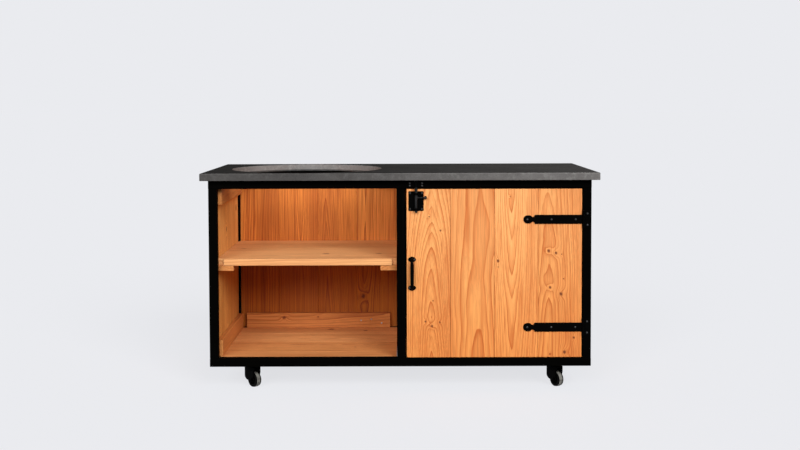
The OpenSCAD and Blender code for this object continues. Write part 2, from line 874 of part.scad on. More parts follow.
// Moulded wheel core: hub, web and a rim with a flange on either side of the tread
module wheel(side, end) {
    rim_r = wheel_r - tread_t;
    rim_t = 6;
    hub_r = 10;
    hub_w = 2 * fork_in - 1;
    web_w = 6;
    bore_r = axle_d / 2 + axle_play;
    color(black) at_caster(side, end) translate([trail, 0, wheel_r]) rotate([90, 0, 0])
        rotate_extrude($fn = 72) {
            translate([bore_r, -hub_w / 2]) square([hub_r - bore_r, hub_w]);
            translate([bore_r, -web_w / 2]) square([rim_r - bore_r, web_w]);
            translate([rim_r - rim_t, -wheel_w / 2]) square([rim_t, wheel_w]);
            for (y = [-wheel_w / 2, wheel_w / 2 - flange_t])
                translate([rim_r - rim_t, y]) square([rim_t + tread_t - flange_drop, flange_t]);
        }
}

// Grey tread moulded between the flanges, with rounded shoulders
module tyre(side, end) {
    rim_r = wheel_r - tread_t;
    half_tread = wheel_w / 2 - flange_t;
    shoulder = 3;
    color(tread_grey) at_caster(side, end) translate([trail, 0, wheel_r]) rotate([90, 0, 0])
        rotate_extrude($fn = 72) {
            translate([rim_r, -half_tread]) square([tread_t - shoulder, 2 * half_tread]);
            translate([rim_r, shoulder - half_tread]) square([tread_t, 2 * (half_tread - shoulder)]);
            for (s = [-1, 1])
                translate([wheel_r - shoulder, s * (half_tread - shoulder)]) circle(shoulder, $fn = 24);
        }
}

front_left_post();
front_middle_post();
front_right_post();
back_left_post();
back_middle_post();
back_right_post();
top_front_rail();
top_back_rail();
top_cross_rails();
bottom_front_rail();
bottom_back_rail();
bottom_cross_rails();
floor_bearers();
worktop();
back_boards_left();
back_boards_right();
left_side_boards();
right_side_boards();
partition_boards();
floor_boards_left();
floor_boards_right();
shelf_boards();
side_battens();
rear_battens();
shelf_cleats();
batten_screws();
door_board_1();
door_board_2();
door_board_3();
door_board_4();
door_ledges();
upper_hinge_strap();
lower_hinge_strap();
upper_hinge_leaf();
lower_hinge_leaf();
hinge_pins();
pull_handle();
bolt_plate();
bolt_rod();
bolt_keeper();
door_screws();
frame_screws();
caster_heads();
caster_stems();
fork(-1, -1);  // fork_front_left
fork(1, -1);  // fork_front_right
fork(-1, 1);  // fork_back_left
fork(1, 1);  // fork_back_right
axle(-1, -1);  // axle_front_left
axle(1, -1);  // axle_front_right
axle(-1, 1);  // axle_back_left
axle(1, 1);  // axle_back_right
wheel(-1, -1);  // wheel_front_left
wheel(1, -1);  // wheel_front_right
wheel(-1, 1);  // wheel_back_left
wheel(1, 1);  // wheel_back_right
tyre(-1, -1);  // tyre_front_left
tyre(1, -1);  // tyre_front_right
tyre(-1, 1);  // tyre_back_left
tyre(1, 1);  // tyre_back_right
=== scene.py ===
"""Looks of the outdoor kitchen: tube frame, stone top, fir boards, black ironwork and casters."""
import json
import math
import random

import bmesh
import bpy
from mathutils import Matrix, Vector


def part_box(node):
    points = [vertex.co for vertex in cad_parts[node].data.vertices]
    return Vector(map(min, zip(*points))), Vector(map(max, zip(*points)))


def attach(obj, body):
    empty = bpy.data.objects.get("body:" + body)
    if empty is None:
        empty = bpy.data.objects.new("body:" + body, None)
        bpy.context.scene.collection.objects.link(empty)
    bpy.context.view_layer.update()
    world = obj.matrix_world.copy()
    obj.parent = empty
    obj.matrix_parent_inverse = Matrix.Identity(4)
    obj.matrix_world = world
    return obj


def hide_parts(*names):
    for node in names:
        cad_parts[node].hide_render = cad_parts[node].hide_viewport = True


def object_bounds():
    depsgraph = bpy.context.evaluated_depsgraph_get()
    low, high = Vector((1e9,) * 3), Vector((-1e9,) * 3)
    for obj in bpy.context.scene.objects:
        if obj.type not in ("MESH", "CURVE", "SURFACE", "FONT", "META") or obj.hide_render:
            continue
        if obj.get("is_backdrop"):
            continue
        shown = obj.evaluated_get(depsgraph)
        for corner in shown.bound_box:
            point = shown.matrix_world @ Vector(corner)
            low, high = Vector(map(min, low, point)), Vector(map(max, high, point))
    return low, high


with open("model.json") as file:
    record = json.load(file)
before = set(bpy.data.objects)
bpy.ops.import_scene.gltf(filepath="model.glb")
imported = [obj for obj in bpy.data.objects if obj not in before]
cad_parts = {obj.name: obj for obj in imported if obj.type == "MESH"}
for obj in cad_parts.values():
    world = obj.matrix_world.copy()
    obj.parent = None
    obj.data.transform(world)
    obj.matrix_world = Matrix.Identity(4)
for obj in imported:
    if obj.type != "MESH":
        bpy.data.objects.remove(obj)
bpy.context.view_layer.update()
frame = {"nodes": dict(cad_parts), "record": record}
cad_nodes = frame["nodes"]
MM = 0.001

# Camera. It stands in front of the kitchen at chest height and looks almost level.
# Part of its downward view is shift, so that the uprights stay parallel, as in the photograph.
image_w = 800
focal_px = 1072
shift_px = 70
stands_at = (0.001, -4.704, 1.1725)
looks_down = 2.616
leans = -0.168
camera_data = bpy.data.cameras.new("camera")
camera_data.sensor_width = 36
camera_data.lens = focal_px / image_w * camera_data.sensor_width
camera_data.shift_y = -shift_px / image_w
camera = bpy.data.objects.new("camera", camera_data)
bpy.context.scene.collection.objects.link(camera)
camera.location = stands_at
camera_pitch = Matrix.Rotation(math.radians(90 - looks_down), 3, "X")
camera_roll = Matrix.Rotation(math.radians(leans), 3, "Z")
camera.rotation_euler = (camera_pitch @ camera_roll).to_euler()
bpy.context.scene.camera = camera


# Tube frame. Square steel tubes with a 3 mm corner radius, mitred, welded and ground flush,
# then coated with black powder that dries to a fine, uneven skin.
def node(tree, kind, inputs=(), **settings):
    """Adds a node and fills its sockets with values or with other nodes' outputs."""
    made = tree.nodes.new("ShaderNode" + kind)
    for key, value in settings.items():
        setattr(made, key, value)
    for key, value in dict(inputs).items():
        if isinstance(value, bpy.types.NodeSocket):
            tree.links.new(value, made.inputs[key])
        else:
            made.inputs[key].default_value = value
    return made


def maths(tree, operation, *values):
    return node(tree, "Math", enumerate(values), operation=operation).outputs[0]


def vector_maths(tree, operation, *values):
    made = node(tree, "VectorMath", enumerate(values), operation=operation)
    return made.outputs["Value" if operation in ("LENGTH", "DOT_PRODUCT") else "Vector"]


def step_up(tree, value, low, high, to_low=0.0, to_high=1.0):
    """Goes smoothly from to_low to to_high while the value goes from low to high."""
    inputs = {"Value": value, "From Min": low, "From Max": high, "To Min": to_low, "To Max": to_high}
    return node(tree, "MapRange", inputs, interpolation_type="SMOOTHSTEP").outputs[0]


def blend_colours(tree, factor, first, second, blend_type="MIX"):
    made = node(tree, "Mix", {0: factor, 6: first, 7: second}, data_type="RGBA", blend_type=blend_type)
    return made.outputs[2]


def noise(tree, place, stretch, detail=2.0):
    """Noise whose grains are 1 / stretch metres long in each direction: its value, then its colour."""
    stretched = vector_maths(tree, "MULTIPLY", place, stretch)
    return node(tree, "TexNoise", {"Vector": stretched, "Scale": 1.0, "Detail": detail}).outputs


def new_group(name, inputs, outputs):
    """An empty node group with its sockets: returns the group, what comes in and what goes out."""
    group = bpy.data.node_groups.new(name, "ShaderNodeTree")
    for label, kind in inputs.items():
        group.interface.new_socket(label, in_out="INPUT", socket_type="NodeSocket" + kind)
    for label, kind in outputs.items():
        group.interface.new_socket(label, in_out="OUTPUT", socket_type="NodeSocket" + kind)
    return group, group.nodes.new("NodeGroupInput").outputs, group.nodes.new("NodeGroupOutput").inputs


def use_group(tree, group, inputs):
    made = tree.nodes.new("ShaderNodeGroup")
    made.node_tree = group
    for key, value in inputs.items():
        if isinstance(value, bpy.types.NodeSocket):
            tree.links.new(value, made.inputs[key])
        else:
            made.inputs[key].default_value = value
    return made.outputs


def new_material(name, **plain):
    """A material: returns it, its tree, its shader and the object's own coordinates."""
    material = bpy.data.materials.new(name)
    material.use_nodes = True
    tree = material.node_tree
    shader = tree.nodes["Principled BSDF"]
    for label, value in plain.items():
        shader.inputs[label.replace("_", " ")].default_value = value
    return material, tree, shader, node(tree, "TexCoord").outputs["Object"]


def bump(tree, shader, height, distance, strength=1.0):
    made = node(tree, "Bump", {"Height": height, "Distance": distance, "Strength": strength})
    tree.links.new(made.outputs["Normal"], shader.inputs["Normal"])


coat_skin, coming, going = new_group(
    "coat_skin",
    {"Place": "Vector", "Colour": "Color", "Dust": "Float", "Roughness": "Float", "Peel": "Float"},
    {"Color": "Color", "Roughness": "Float", "Height": "Float"},
)
peel_size = node(coat_skin, "CombineXYZ", {k: coming["Peel"] for k in "XYZ"}).outputs[0]
peel = noise(coat_skin, coming["Place"], peel_size, 3.0)[0]
clouds = noise(coat_skin, coming["Place"], (14.0, 14.0, 14.0), 4.0)[0]
settled = step_up(coat_skin, clouds, 0.48, 0.75)
dusty = maths(coat_skin, "MULTIPLY", settled, coming["Dust"])
dusted = blend_colours(coat_skin, dusty, coming["Colour"], (0.16, 0.15, 0.14, 1.0))
coat_skin.links.new(dusted, going["Color"])
uneven = maths(coat_skin, "MULTIPLY_ADD", clouds, 0.16, -0.08)
coat_skin.links.new(maths(coat_skin, "ADD", coming["Roughness"], uneven), going["Roughness"])
coat_skin.links.new(peel, going["Height"])


def coated_steel(name, colour, roughness, gloss, peel_size, dust):
    """Black coated metal; the peel size is the number of bumps in a metre."""
    material, tree, shader, place = new_material(name, Specular_IOR_Level=gloss)
    skin = use_group(tree, coat_skin, {
        "Place": place, "Colour": (*colour, 1.0), "Dust": dust, "Roughness": roughness, "Peel": peel_size,
    })
    tree.links.new(skin["Color"], shader.inputs["Base Color"])
    tree.links.new(skin["Roughness"], shader.inputs["Roughness"])
    bump(tree, shader, skin["Height"], 0.15 * MM, 0.6)
    return material


powder_coat = coated_steel("powder_coat", (0.0012, 0.0011, 0.0009), 0.46, 0.004, 900.0, 0.001)


def paint(material, *names):
    """Gives CAD pieces that keep their shape a material."""
    for name in names:
        cad_nodes[name].data.materials.clear()
        cad_nodes[name].data.materials.append(material)


paint(
    powder_coat,
    "front_left_post", "front_middle_post", "front_right_post",
    "back_left_post", "back_middle_post", "back_right_post",
    "top_front_rail", "top_back_rail", "top_cross_rails",
    "bottom_front_rail", "bottom_back_rail", "bottom_cross_rails", "floor_bearers",
)


# Weld beads. Where a post meets the rails, its sides towards the bays can't be ground, so the
# bead stays: a row of small overlapping scales that the powder coat covers.
def lone(obj):
    """Makes an object the only selected one and the active one."""
    bpy.ops.object.select_all(action="DESELECT")
    obj.select_set(True)
    bpy.context.view_layer.objects.active = obj
    return obj


def apply_modifier(obj, kind, **settings):
    lone(obj)
    modifier = obj.modifiers.new(kind.lower(), kind)
    for key, value in settings.items():
        setattr(modifier, key, value)
    bpy.ops.object.modifier_apply(modifier=modifier.name)
    return obj


def place_at(obj, location=(0, 0, 0), turn=(0, 0, 0)):
    """Turns and moves an object, and puts its place into its mesh."""
    lone(obj)
    obj.location = location
    obj.rotation_euler = turn
    bpy.ops.object.transform_apply(location=True, rotation=True, scale=True)
    return obj


def copy_of(obj):
    """A copy with a mesh of its own."""
    twin = obj.copy()
    twin.data = obj.data.copy()
    bpy.context.scene.collection.objects.link(twin)
    return twin


def joined(parts):
    bpy.ops.object.select_all(action="DESELECT")
    for part in parts:
        part.select_set(True)
    bpy.context.view_layer.objects.active = parts[0]
    if len(parts) > 1:
        bpy.ops.object.join()
    return bpy.context.view_layer.objects.active


def hand_in(obj, name, material, body, slot, *replaced):
    """Names a finished piece, gives it its finish and hangs it on its body."""
    obj.name = name
    obj.data.name = name
    obj.data.materials.clear()
    obj.data.materials.append(material)
    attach(obj, body)
    if replaced:
        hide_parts(*replaced)
    return obj


bead_r = 1.7 * MM
bead_pitch = 1.5 * MM
bead_inset = 3 * MM
bpy.ops.object.select_all(action="DESELECT")
bpy.ops.mesh.primitive_uv_sphere_add(segments=12, ring_count=6, radius=bead_r, rotation=(math.pi / 2, 0, 0))
bead = place_at(bpy.context.object)
beads = []
for post in ("front_left", "front_middle", "front_right", "back_left", "back_middle", "back_right"):
    low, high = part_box(post + "_post")
    sides = [high.x] if "left" in post else [low.x] if "right" in post else [low.x, high.x]
    for x in sides:
        for z in (low.z, high.z):
            count = round((high.y - low.y - 2 * bead_inset) / bead_pitch)
            row = apply_modifier(
                copy_of(bead), "ARRAY", count=count, use_relative_offset=False,
                use_constant_offset=True, constant_offset_displace=(0, bead_pitch, 0),
            )
            beads.append(place_at(row, (x, low.y + bead_inset, z)))
bpy.data.objects.remove(bead)
weld_beads = joined(beads)
bpy.ops.object.shade_smooth()
hand_in(weld_beads, "weld_beads", powder_coat, "frame", "frame_steel")


# Stone worktop. One honed slab of dark stone with eased edges, and a round cut-out for a built-in
# grill, whose wall is painted paler than the faces. It lies on the frame by its weight and a bead of glue.
def block(low, high):
    """A cuboid between two corners."""
    bpy.ops.object.select_all(action="DESELECT")
    bpy.ops.mesh.primitive_cube_add(size=1, location=(low + high) / 2, scale=high - low)
    return place_at(bpy.context.object, (low + high) / 2)


def cut(obj, tool, mode="DIFFERENCE"):
    """Cuts an object with another one, which is then thrown away."""
    apply_modifier(obj, "BOOLEAN", operation=mode, solver="EXACT", object=tool)
    bpy.data.objects.remove(tool)


def ease_edges(obj, width, segments=2, angle=30, harden=False):
    """Rounds the edges that are sharper than the angle."""
    return apply_modifier(
        obj, "BEVEL", width=width, segments=segments, limit_method="ANGLE",
        angle_limit=math.radians(angle), harden_normals=harden,
    )


stone_ease = 2.2 * MM
cutout_r = 325 * MM
rim_steps = 144
drill_h = 100 * MM
low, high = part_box("worktop")
slab = block(low, high)
cutout = next(m for m in frame["record"]["mounts"] if m["name"] == "grill_cutout")
bpy.ops.object.select_all(action="DESELECT")
bpy.ops.mesh.primitive_cylinder_add(
    vertices=rim_steps, radius=cutout_r, depth=drill_h, location=Vector(cutout["pos_m"]),
)
cut(slab, bpy.context.object)
ease_edges(slab, stone_ease, 3, 50, harden=True)
stone, tree, shader, place = new_material("honed_stone", Specular_IOR_Level=0.0)
grains = noise(tree, place, (420.0, 420.0, 420.0), 4.0)[0]
patches = noise(tree, place, (9.0, 16.0, 16.0), 5.0)[0]
veins = noise(tree, place, (60.0, 60.0, 60.0), 3.0)[0]
patched = step_up(tree, patches, 0.3, 0.7)
mottled = blend_colours(tree, patched, (0.072, 0.067, 0.065, 1), (0.100, 0.095, 0.092, 1))
mottled = blend_colours(tree, step_up(tree, veins, 0.45, 0.8), mottled, (0.13, 0.125, 0.12, 1))
fine = blend_colours(tree, step_up(tree, grains, 0.35, 0.7, 0.0, 0.5), mottled, (0.15, 0.145, 0.14, 1))
crystals = node(tree, "TexVoronoi", {"Vector": place, "Scale": 260.0, "Randomness": 1.0})
sparse = maths(tree, "GREATER_THAN", crystals.outputs["Color"], 0.95)
speck = maths(tree, "MULTIPLY", sparse, step_up(tree, crystals.outputs["Distance"], 0.35, 0.1))
specked = blend_colours(tree, maths(tree, "MULTIPLY", speck, 0.5), fine, (0.40, 0.38, 0.35, 1))
spot = node(tree, "SeparateXYZ", {0: place}).outputs
# Painted light: the slab is painted paler towards the right, as if more light fell on that side.
painted_light_from_right = step_up(tree, spot[0], -0.5, 0.9, 0.78, 1.68)
off_axis = vector_maths(tree, "MULTIPLY", vector_maths(tree, "SUBTRACT", place, cutout["pos_m"]), (1, 1, 0))
off_axis = vector_maths(tree, "LENGTH", off_axis)
# Painted light: the wall of the cut-out is painted paler than the faces, apart from a darker strip along its
# foot that stands in for shade.
rim = step_up(tree, off_axis, cutout_r + 1.2 * MM, cutout_r + 0.4 * MM)
rim = maths(tree, "MULTIPLY", rim, step_up(tree, spot[2], low.z + 5 * MM, low.z + 8 * MM, 0.05, 2.1))
# Painted light and shade: the upper eased edges carry a painted highlight, and the top is painted darker
# than the front.
facing_up = node(tree, "SeparateXYZ", {0: node(tree, "TexCoord").outputs["Normal"]}).outputs[2]
painted_edge_highlight = step_up(tree, facing_up, 0.1, 0.5, 0.95, 1.5)
painted_top_shade = step_up(tree, facing_up, 0.85, 0.99, 1.0, 0.27)
shade = maths(tree, "MAXIMUM", maths(tree, "MULTIPLY", painted_edge_highlight, painted_light_from_right), rim)
shade = maths(tree, "MULTIPLY", painted_top_shade, shade)
shade = node(tree, "CombineColor", {k: shade for k in range(3)}).outputs[0]
tree.links.new(blend_colours(tree, 1.0, specked, shade, "MULTIPLY"), shader.inputs["Base Color"])
tree.links.new(step_up(tree, grains, 0.3, 0.7, 0.52, 0.66), shader.inputs["Roughness"])
bump(tree, shader, maths(tree, "ADD", grains, maths(tree, "MULTIPLY", veins, 0.6)), 0.12 * MM, 0.5)
hand_in(slab, "stone_worktop", stone, "frame", "stone", "worktop")


# Boards of the walls and floors. Planed Douglas fir with eased edges, oiled; each board keeps its
# own rings, pith and knots. They stand and lie on the lower rails and are joined by battens.
def solids(name):
    """Corners of the separate solids of a CAD node, in order along X, then Y, then Z."""
    mesh = bmesh.new()
    mesh.from_mesh(cad_nodes[name].data)
    bmesh.ops.remove_doubles(mesh, verts=mesh.verts, dist=1e-6)
    left = set(mesh.verts)
    boxes = []
    while left:
        group = [left.pop()]
        for vertex in group:
            for edge in vertex.link_edges:
                other = edge.other_vert(vertex)
                if other in left:
                    left.remove(other)
                    group.append(other)
        corners = [Vector([pick(v.co[i] for v in group) for i in range(3)]) for pick in (min, max)]
        boxes.append(corners)
    mesh.free()
    return sorted(boxes, key=lambda box: [round(c, 3) for c in box[0]])


def close_up(boxes):
    """Pushes boards that lie side by side together, so that only their eased edges part them."""
    widest, left_open = 1.2 * MM, 0.1 * MM
    for first, second in zip(boxes, boxes[1:]):
        for i in range(3):
            gap = second[0][i] - first[1][i]
            if left_open < gap < widest:
                first[1][i] += (gap - left_open) / 2
                second[0][i] -= (gap - left_open) / 2
    return boxes


knot, coming, going = new_group(
    "knot",
    {"Offset": "Vector", "Radius": "Float", "Bulge": "Float", "Mask": "Float", "Rim": "Float"},
    {"Bulge": "Float", "Mask": "Float", "Rim": "Float"},
)
ragged = noise(knot, coming["Offset"], (190.0, 190.0, 150.0), 3.0)[0]
away = maths(knot, "DIVIDE", vector_maths(knot, "LENGTH", coming["Offset"]), coming["Radius"])
away = maths(knot, "ADD", away, maths(knot, "MULTIPLY_ADD", ragged, 1.5, -0.75))
push = maths(knot, "EXPONENT", maths(knot, "MULTIPLY", maths(knot, "POWER", away, 2.0), -0.11))
push = maths(knot, "MULTIPLY", push, maths(knot, "MULTIPLY", coming["Radius"], 1.7))
knot.links.new(maths(knot, "ADD", coming["Bulge"], push), going["Bulge"])
inside = step_up(knot, away, 1.1, 0.75)
knot.links.new(maths(knot, "MAXIMUM", coming["Mask"], inside), going["Mask"])
around = maths(knot, "MULTIPLY", step_up(knot, away, 0.6, 1.0), step_up(knot, away, 1.7, 1.05))
knot.links.new(maths(knot, "MAXIMUM", coming["Rim"], around), going["Rim"])

ring_w = 6.0 * MM
fir, coming, going = new_group(
    "fir",
    {
        "Grain": "Vector", "Tone": "Float", "Bulge": "Float", "Mask": "Float", "Rim": "Float",
        "Wild Knots": "Float", "Spring": "Color", "Summer": "Color",
    },
    {"Color": "Color", "Roughness": "Float", "Height": "Float"},
)
grain = coming["Grain"]
sway = vector_maths(fir, "SUBTRACT", noise(fir, grain, (8.0, 8.0, 1.7), 1.0)[1], (0.5, 0.5, 0.5))
ripple = vector_maths(fir, "SUBTRACT", noise(fir, grain, (40.0, 40.0, 6.0), 2.0)[1], (0.5, 0.5, 0.5))
bent = vector_maths(fir, "ADD", grain, vector_maths(fir, "MULTIPLY", sway, (0.014, 0.030, 0.0)))
bent = vector_maths(fir, "ADD", bent, vector_maths(fir, "MULTIPLY", ripple, (0.0035, 0.0035, 0.0)))

wild_scale = 3.6
flat = node(fir, "SeparateXYZ", {0: grain}).outputs
on_face = node(fir, "CombineXYZ", {0: flat[0], 1: flat[2]}).outputs[0]
on_face = vector_maths(fir, "MULTIPLY", on_face, (wild_scale, wild_scale, 0.0))
cells = node(
    fir, "TexVoronoi", {"Vector": on_face, "Scale": 1.0, "Randomness": 1.0}, voronoi_dimensions="2D",
)
chance = node(fir, "SeparateColor", {0: cells.outputs["Color"]}).outputs
off_cell = vector_maths(fir, "SUBTRACT", on_face, cells.outputs["Position"])
off_cell = vector_maths(fir, "MULTIPLY", off_cell, (1 / wild_scale, 0.8 / wild_scale, 0.0))
present = maths(fir, "MULTIPLY", maths(fir, "GREATER_THAN", chance[0], 0.42), coming["Wild Knots"])
wild_r = maths(fir, "MULTIPLY", maths(fir, "MULTIPLY_ADD", chance[1], 0.008, 0.0022), present)
wild_r = maths(fir, "ADD", wild_r, 0.00001)
wild = use_group(fir, knot, {
    "Offset": off_cell, "Radius": wild_r,
    "Bulge": coming["Bulge"], "Mask": coming["Mask"], "Rim": coming["Rim"],
})

from_pith = vector_maths(fir, "LENGTH", vector_maths(fir, "MULTIPLY", bent, (1.0, 1.0, 0.0)))
beside = maths(fir, "ABSOLUTE", node(fir, "SeparateXYZ", {0: bent}).outputs[0])
from_pith = maths(fir, "MULTIPLY_ADD", beside, 0.14, from_pith)
rings = maths(fir, "DIVIDE", maths(fir, "ADD", from_pith, wild["Bulge"]), ring_w)
years = node(fir, "CombineXYZ", {0: maths(fir, "MULTIPLY", rings, 0.3), 1: coming["Tone"]}).outputs[0]
rings = maths(fir, "MULTIPLY_ADD", noise(fir, years, (1.0, 9.0, 1.0), 2.0)[0], 2.6, rings)
phase = maths(fir, "FRACT", rings)
year = node(fir, "TexWhiteNoise", {"W": maths(fir, "FLOOR", rings)}, noise_dimensions="1D").outputs[0]
gradual = maths(fir, "MULTIPLY", step_up(fir, phase, 0.20, 1.0), 0.62)
late = maths(fir, "MULTIPLY_ADD", step_up(fir, phase, 0.78, 0.95), 0.38, gradual)
late = maths(fir, "MULTIPLY", late, step_up(fir, phase, 1.0, 0.96))
late = maths(fir, "MULTIPLY", late, step_up(fir, year, 0.0, 1.0, 0.40, 1.15))

fibre = noise(fir, bent, (700.0, 700.0, 7.0), 3.0)[0]
streak = noise(fir, grain, (130.0, 130.0, 1.6), 2.0)[0]
broad = noise(fir, grain, (11.0, 11.0, 1.3), 2.0)[0]
wood = blend_colours(fir, late, coming["Spring"], coming["Summer"])
wood = blend_colours(fir, step_up(fir, streak, 0.45, 0.85, 0.0, 0.75), wood, coming["Summer"])
wood = blend_colours(fir, step_up(fir, broad, 0.38, 0.68, 0.0, 0.42), wood, coming["Summer"])
brown = blend_colours(fir, coming["Tone"], (1.06, 1.08, 1.12, 1), (0.86, 0.76, 0.66, 1))
wood = blend_colours(fir, 1.0, wood, brown, "MULTIPLY")
lines = step_up(fir, fibre, 0.3, 0.7, 0.86, 1.08)
lines = node(fir, "CombineColor", {k: lines for k in range(3)}).outputs[0]
wood = blend_colours(fir, 1.0, wood, lines, "MULTIPLY")
wood = blend_colours(fir, maths(fir, "MULTIPLY", wild["Rim"], 0.5), wood, (0.33, 0.085, 0.018, 1))
wood = blend_colours(fir, maths(fir, "MULTIPLY", wild["Mask"], 0.9), wood, (0.14, 0.030, 0.008, 1))
fir.links.new(wood, going["Color"])
fir.links.new(step_up(fir, late, 0.0, 1.0, 0.62, 0.50), going["Roughness"])
relief = maths(fir, "MULTIPLY_ADD", late, 0.6, maths(fir, "MULTIPLY", fibre, 0.5))
fir.links.new(relief, going["Height"])


# Painted shade: in the open bay the walls are painted darker and richer in colour under the shelf, where the
# shelf's shadow falls.
# Each limit of the bay is an axis, a place just under the skin of the boards, and the way out.
shelf_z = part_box("shelf_boards")[1].z
shelf_shade_h = 60 * MM
skin = 1 * MM
skin_fade = 1.5 * MM
bay_limits = (
    (0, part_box("left_side_boards")[1].x - skin, -skin_fade),
    (0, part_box("partition_boards")[0].x + skin, skin_fade),
    (1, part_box("back_boards_left")[0].y + skin, skin_fade),
)


def fir_material(name, spring, summer, knots=(), swells=(), wild_knots=1.0, feet=None, bay_painted_light=None):
    """Fir with given spring and summer wood. Knots are ((x, z), radius) in millimetres. A swell is
    ((x, z), half width, half height, push): it bends the rings outwards there. Feet are two tints,
    that of the boards' feet and that of their heads: painted light, darker towards the bottom and
    lighter towards the top. The bay's painted light is two tints: a painted shade for the open bay
    under its shelf, and one for all that faces away from the bay, so that the inside of the bay
    keeps a painted light or shade of its own."""
    material, tree, shader, place = new_material(name, Specular_IOR_Level=0.25)
    bulge, mask, rim = 0.0, 0.0, 0.0
    for (x, z), half_across, half_along, push in swells:
        offset = vector_maths(tree, "SUBTRACT", place, (x * MM, 0.0, z * MM))
        offset = vector_maths(tree, "MULTIPLY", offset, (1000 / half_across, 0.0, 1000 / half_along))
        spread = maths(tree, "POWER", vector_maths(tree, "LENGTH", offset), 2.0)
        spread = maths(tree, "EXPONENT", maths(tree, "MULTIPLY", spread, -1.0))
        bulge = maths(tree, "MULTIPLY_ADD", spread, push * MM, bulge)
    for (x, z), radius in knots:
        offset = vector_maths(tree, "SUBTRACT", place, (x * MM, 0.0, z * MM))
        offset = vector_maths(tree, "MULTIPLY", offset, (1.0, 0.0, 0.8))
        found = use_group(tree, knot, {
            "Offset": offset, "Radius": radius * MM, "Bulge": bulge, "Mask": mask, "Rim": rim,
        })
        bulge, mask, rim = found["Bulge"], found["Mask"], found["Rim"]
    grain = node(tree, "Attribute", attribute_name="grain").outputs["Vector"]
    tone = node(tree, "Attribute", attribute_name="tone").outputs["Fac"]
    look = use_group(tree, fir, {
        "Grain": grain, "Tone": tone, "Bulge": bulge, "Mask": mask, "Rim": rim,
        "Wild Knots": wild_knots, "Spring": (*spring, 1), "Summer": (*summer, 1),
    })
    wood = look["Color"]
    # Painted light: the colour is tinted from the boards' feet to their heads, darker towards the bottom and
    # lighter towards the top.
    if feet:
        height = node(tree, "SeparateXYZ", {0: place}).outputs[2]
        tint = step_up(tree, height, 50 * MM, 920 * MM)
        tint = blend_colours(tree, tint, (*feet[0], 1), (*feet[1], 1))
        wood = blend_colours(tree, 1.0, wood, tint, "MULTIPLY")
    # Painted light and shade: under the shelf the bay's walls get a painted shadow, and the inside of the
    # bay keeps its own painted tone against all that faces away from it.
    if bay_painted_light:
        painted_shelf_shadow, elsewhere = bay_painted_light
        spot = node(tree, "SeparateXYZ", {0: place}).outputs
        shelf_shadow_mask = step_up(tree, spot[2], shelf_z, shelf_z - shelf_shade_h)
        tint = blend_colours(tree, shelf_shadow_mask, (1, 1, 1, 1), (*painted_shelf_shadow, 1))
        in_bay = 1.0
        for i, edge, outward in bay_limits:
            in_bay = maths(tree, "MULTIPLY", in_bay, step_up(tree, spot[i], edge + outward, edge))
        tint = blend_colours(tree, in_bay, (*elsewhere, 1), tint)
        wood = blend_colours(tree, 1.0, wood, tint, "MULTIPLY")
    tree.links.new(wood, shader.inputs["Base Color"])
    tree.links.new(look["Roughness"], shader.inputs["Roughness"])
    bump(tree, shader, look["Height"], 0.18 * MM, 0.7)
    return material


board_ease = 1.5 * MM
next_board = 1.7
boards_made = []
chance_of_grain = random.Random(11)


def board(low, high, pith=None, lean=None, tone=None, ring=6 * MM, cuts=()):
    """One planed board between two corners, with boxes cut out of it where they meet it. Pith is
    where the tree's middle ran, across and through the board from its centre line, and lean is how
    far it strays from there per unit of length."""
    turned = sorted(range(3), key=lambda i: high[i] - low[i])
    through, across, along = turned
    draw = chance_of_grain.uniform
    drawn_pith = (draw(-60, 60) * MM, draw(30, 75) * MM * (-1) ** len(boards_made))
    drawn_lean = (draw(-0.02, 0.02), draw(-0.06, 0.06))
    drawn_tone = draw(0.1, 0.9)
    pith = pith or drawn_pith
    lean = lean or drawn_lean
    tone = drawn_tone if tone is None else tone
    plank = block(low, high)
    for cut_low, cut_high in cuts:
        if all(cut_low[i] < high[i] and cut_high[i] > low[i] for i in range(3)):
            cut(plank, block(cut_low, cut_high))
    ease_edges(plank, board_ease)
    plank.data.attributes.new("grain", "FLOAT_VECTOR", "POINT")
    plank.data.attributes.new("tone", "FLOAT", "POINT")
    grain = plank.data.attributes["grain"]
    shade = plank.data.attributes["tone"]
    middle = (low + high) / 2
    for vertex in plank.data.vertices:
        away = vertex.co - middle
        length = away[along]
        grain.data[vertex.index].vector = (
            (away[across] - pith[0] - lean[0] * length) * ring_w / ring,
            (away[through] - pith[1] - lean[1] * length) * ring_w / ring,
            length + next_board * len(boards_made),
        )
        shade.data[vertex.index].value = tone
    boards_made.append(plank)
    return plank


bay_fir = fir_material("bay_fir", (0.74, 0.30, 0.085), (0.40, 0.110, 0.022))
floor_fir = fir_material("floor_fir", (0.90, 0.43, 0.155), (0.52, 0.175, 0.048))
# Inside the open bay the back is painted darker and deeper in colour than its outer face, a painted shade
# that is darkest under the shelf; the side is painted lighter inside, a painted light, and darker under the
# shelf, a painted shade.
back_painted_shade = ((0.62, 0.52, 0.22), (1.15, 1.42, 2.3))
side_painted_light_and_shade = ((0.82, 0.76, 0.66), (0.99, 0.84, 0.86))
back_fir = fir_material("back_fir", (0.84, 0.295, 0.055), (0.34, 0.064, 0.008), bay_painted_light=back_painted_shade)
side_fir = fir_material("side_fir", (0.99, 0.51, 0.150), (0.58, 0.19, 0.036), bay_painted_light=side_painted_light_and_shade)
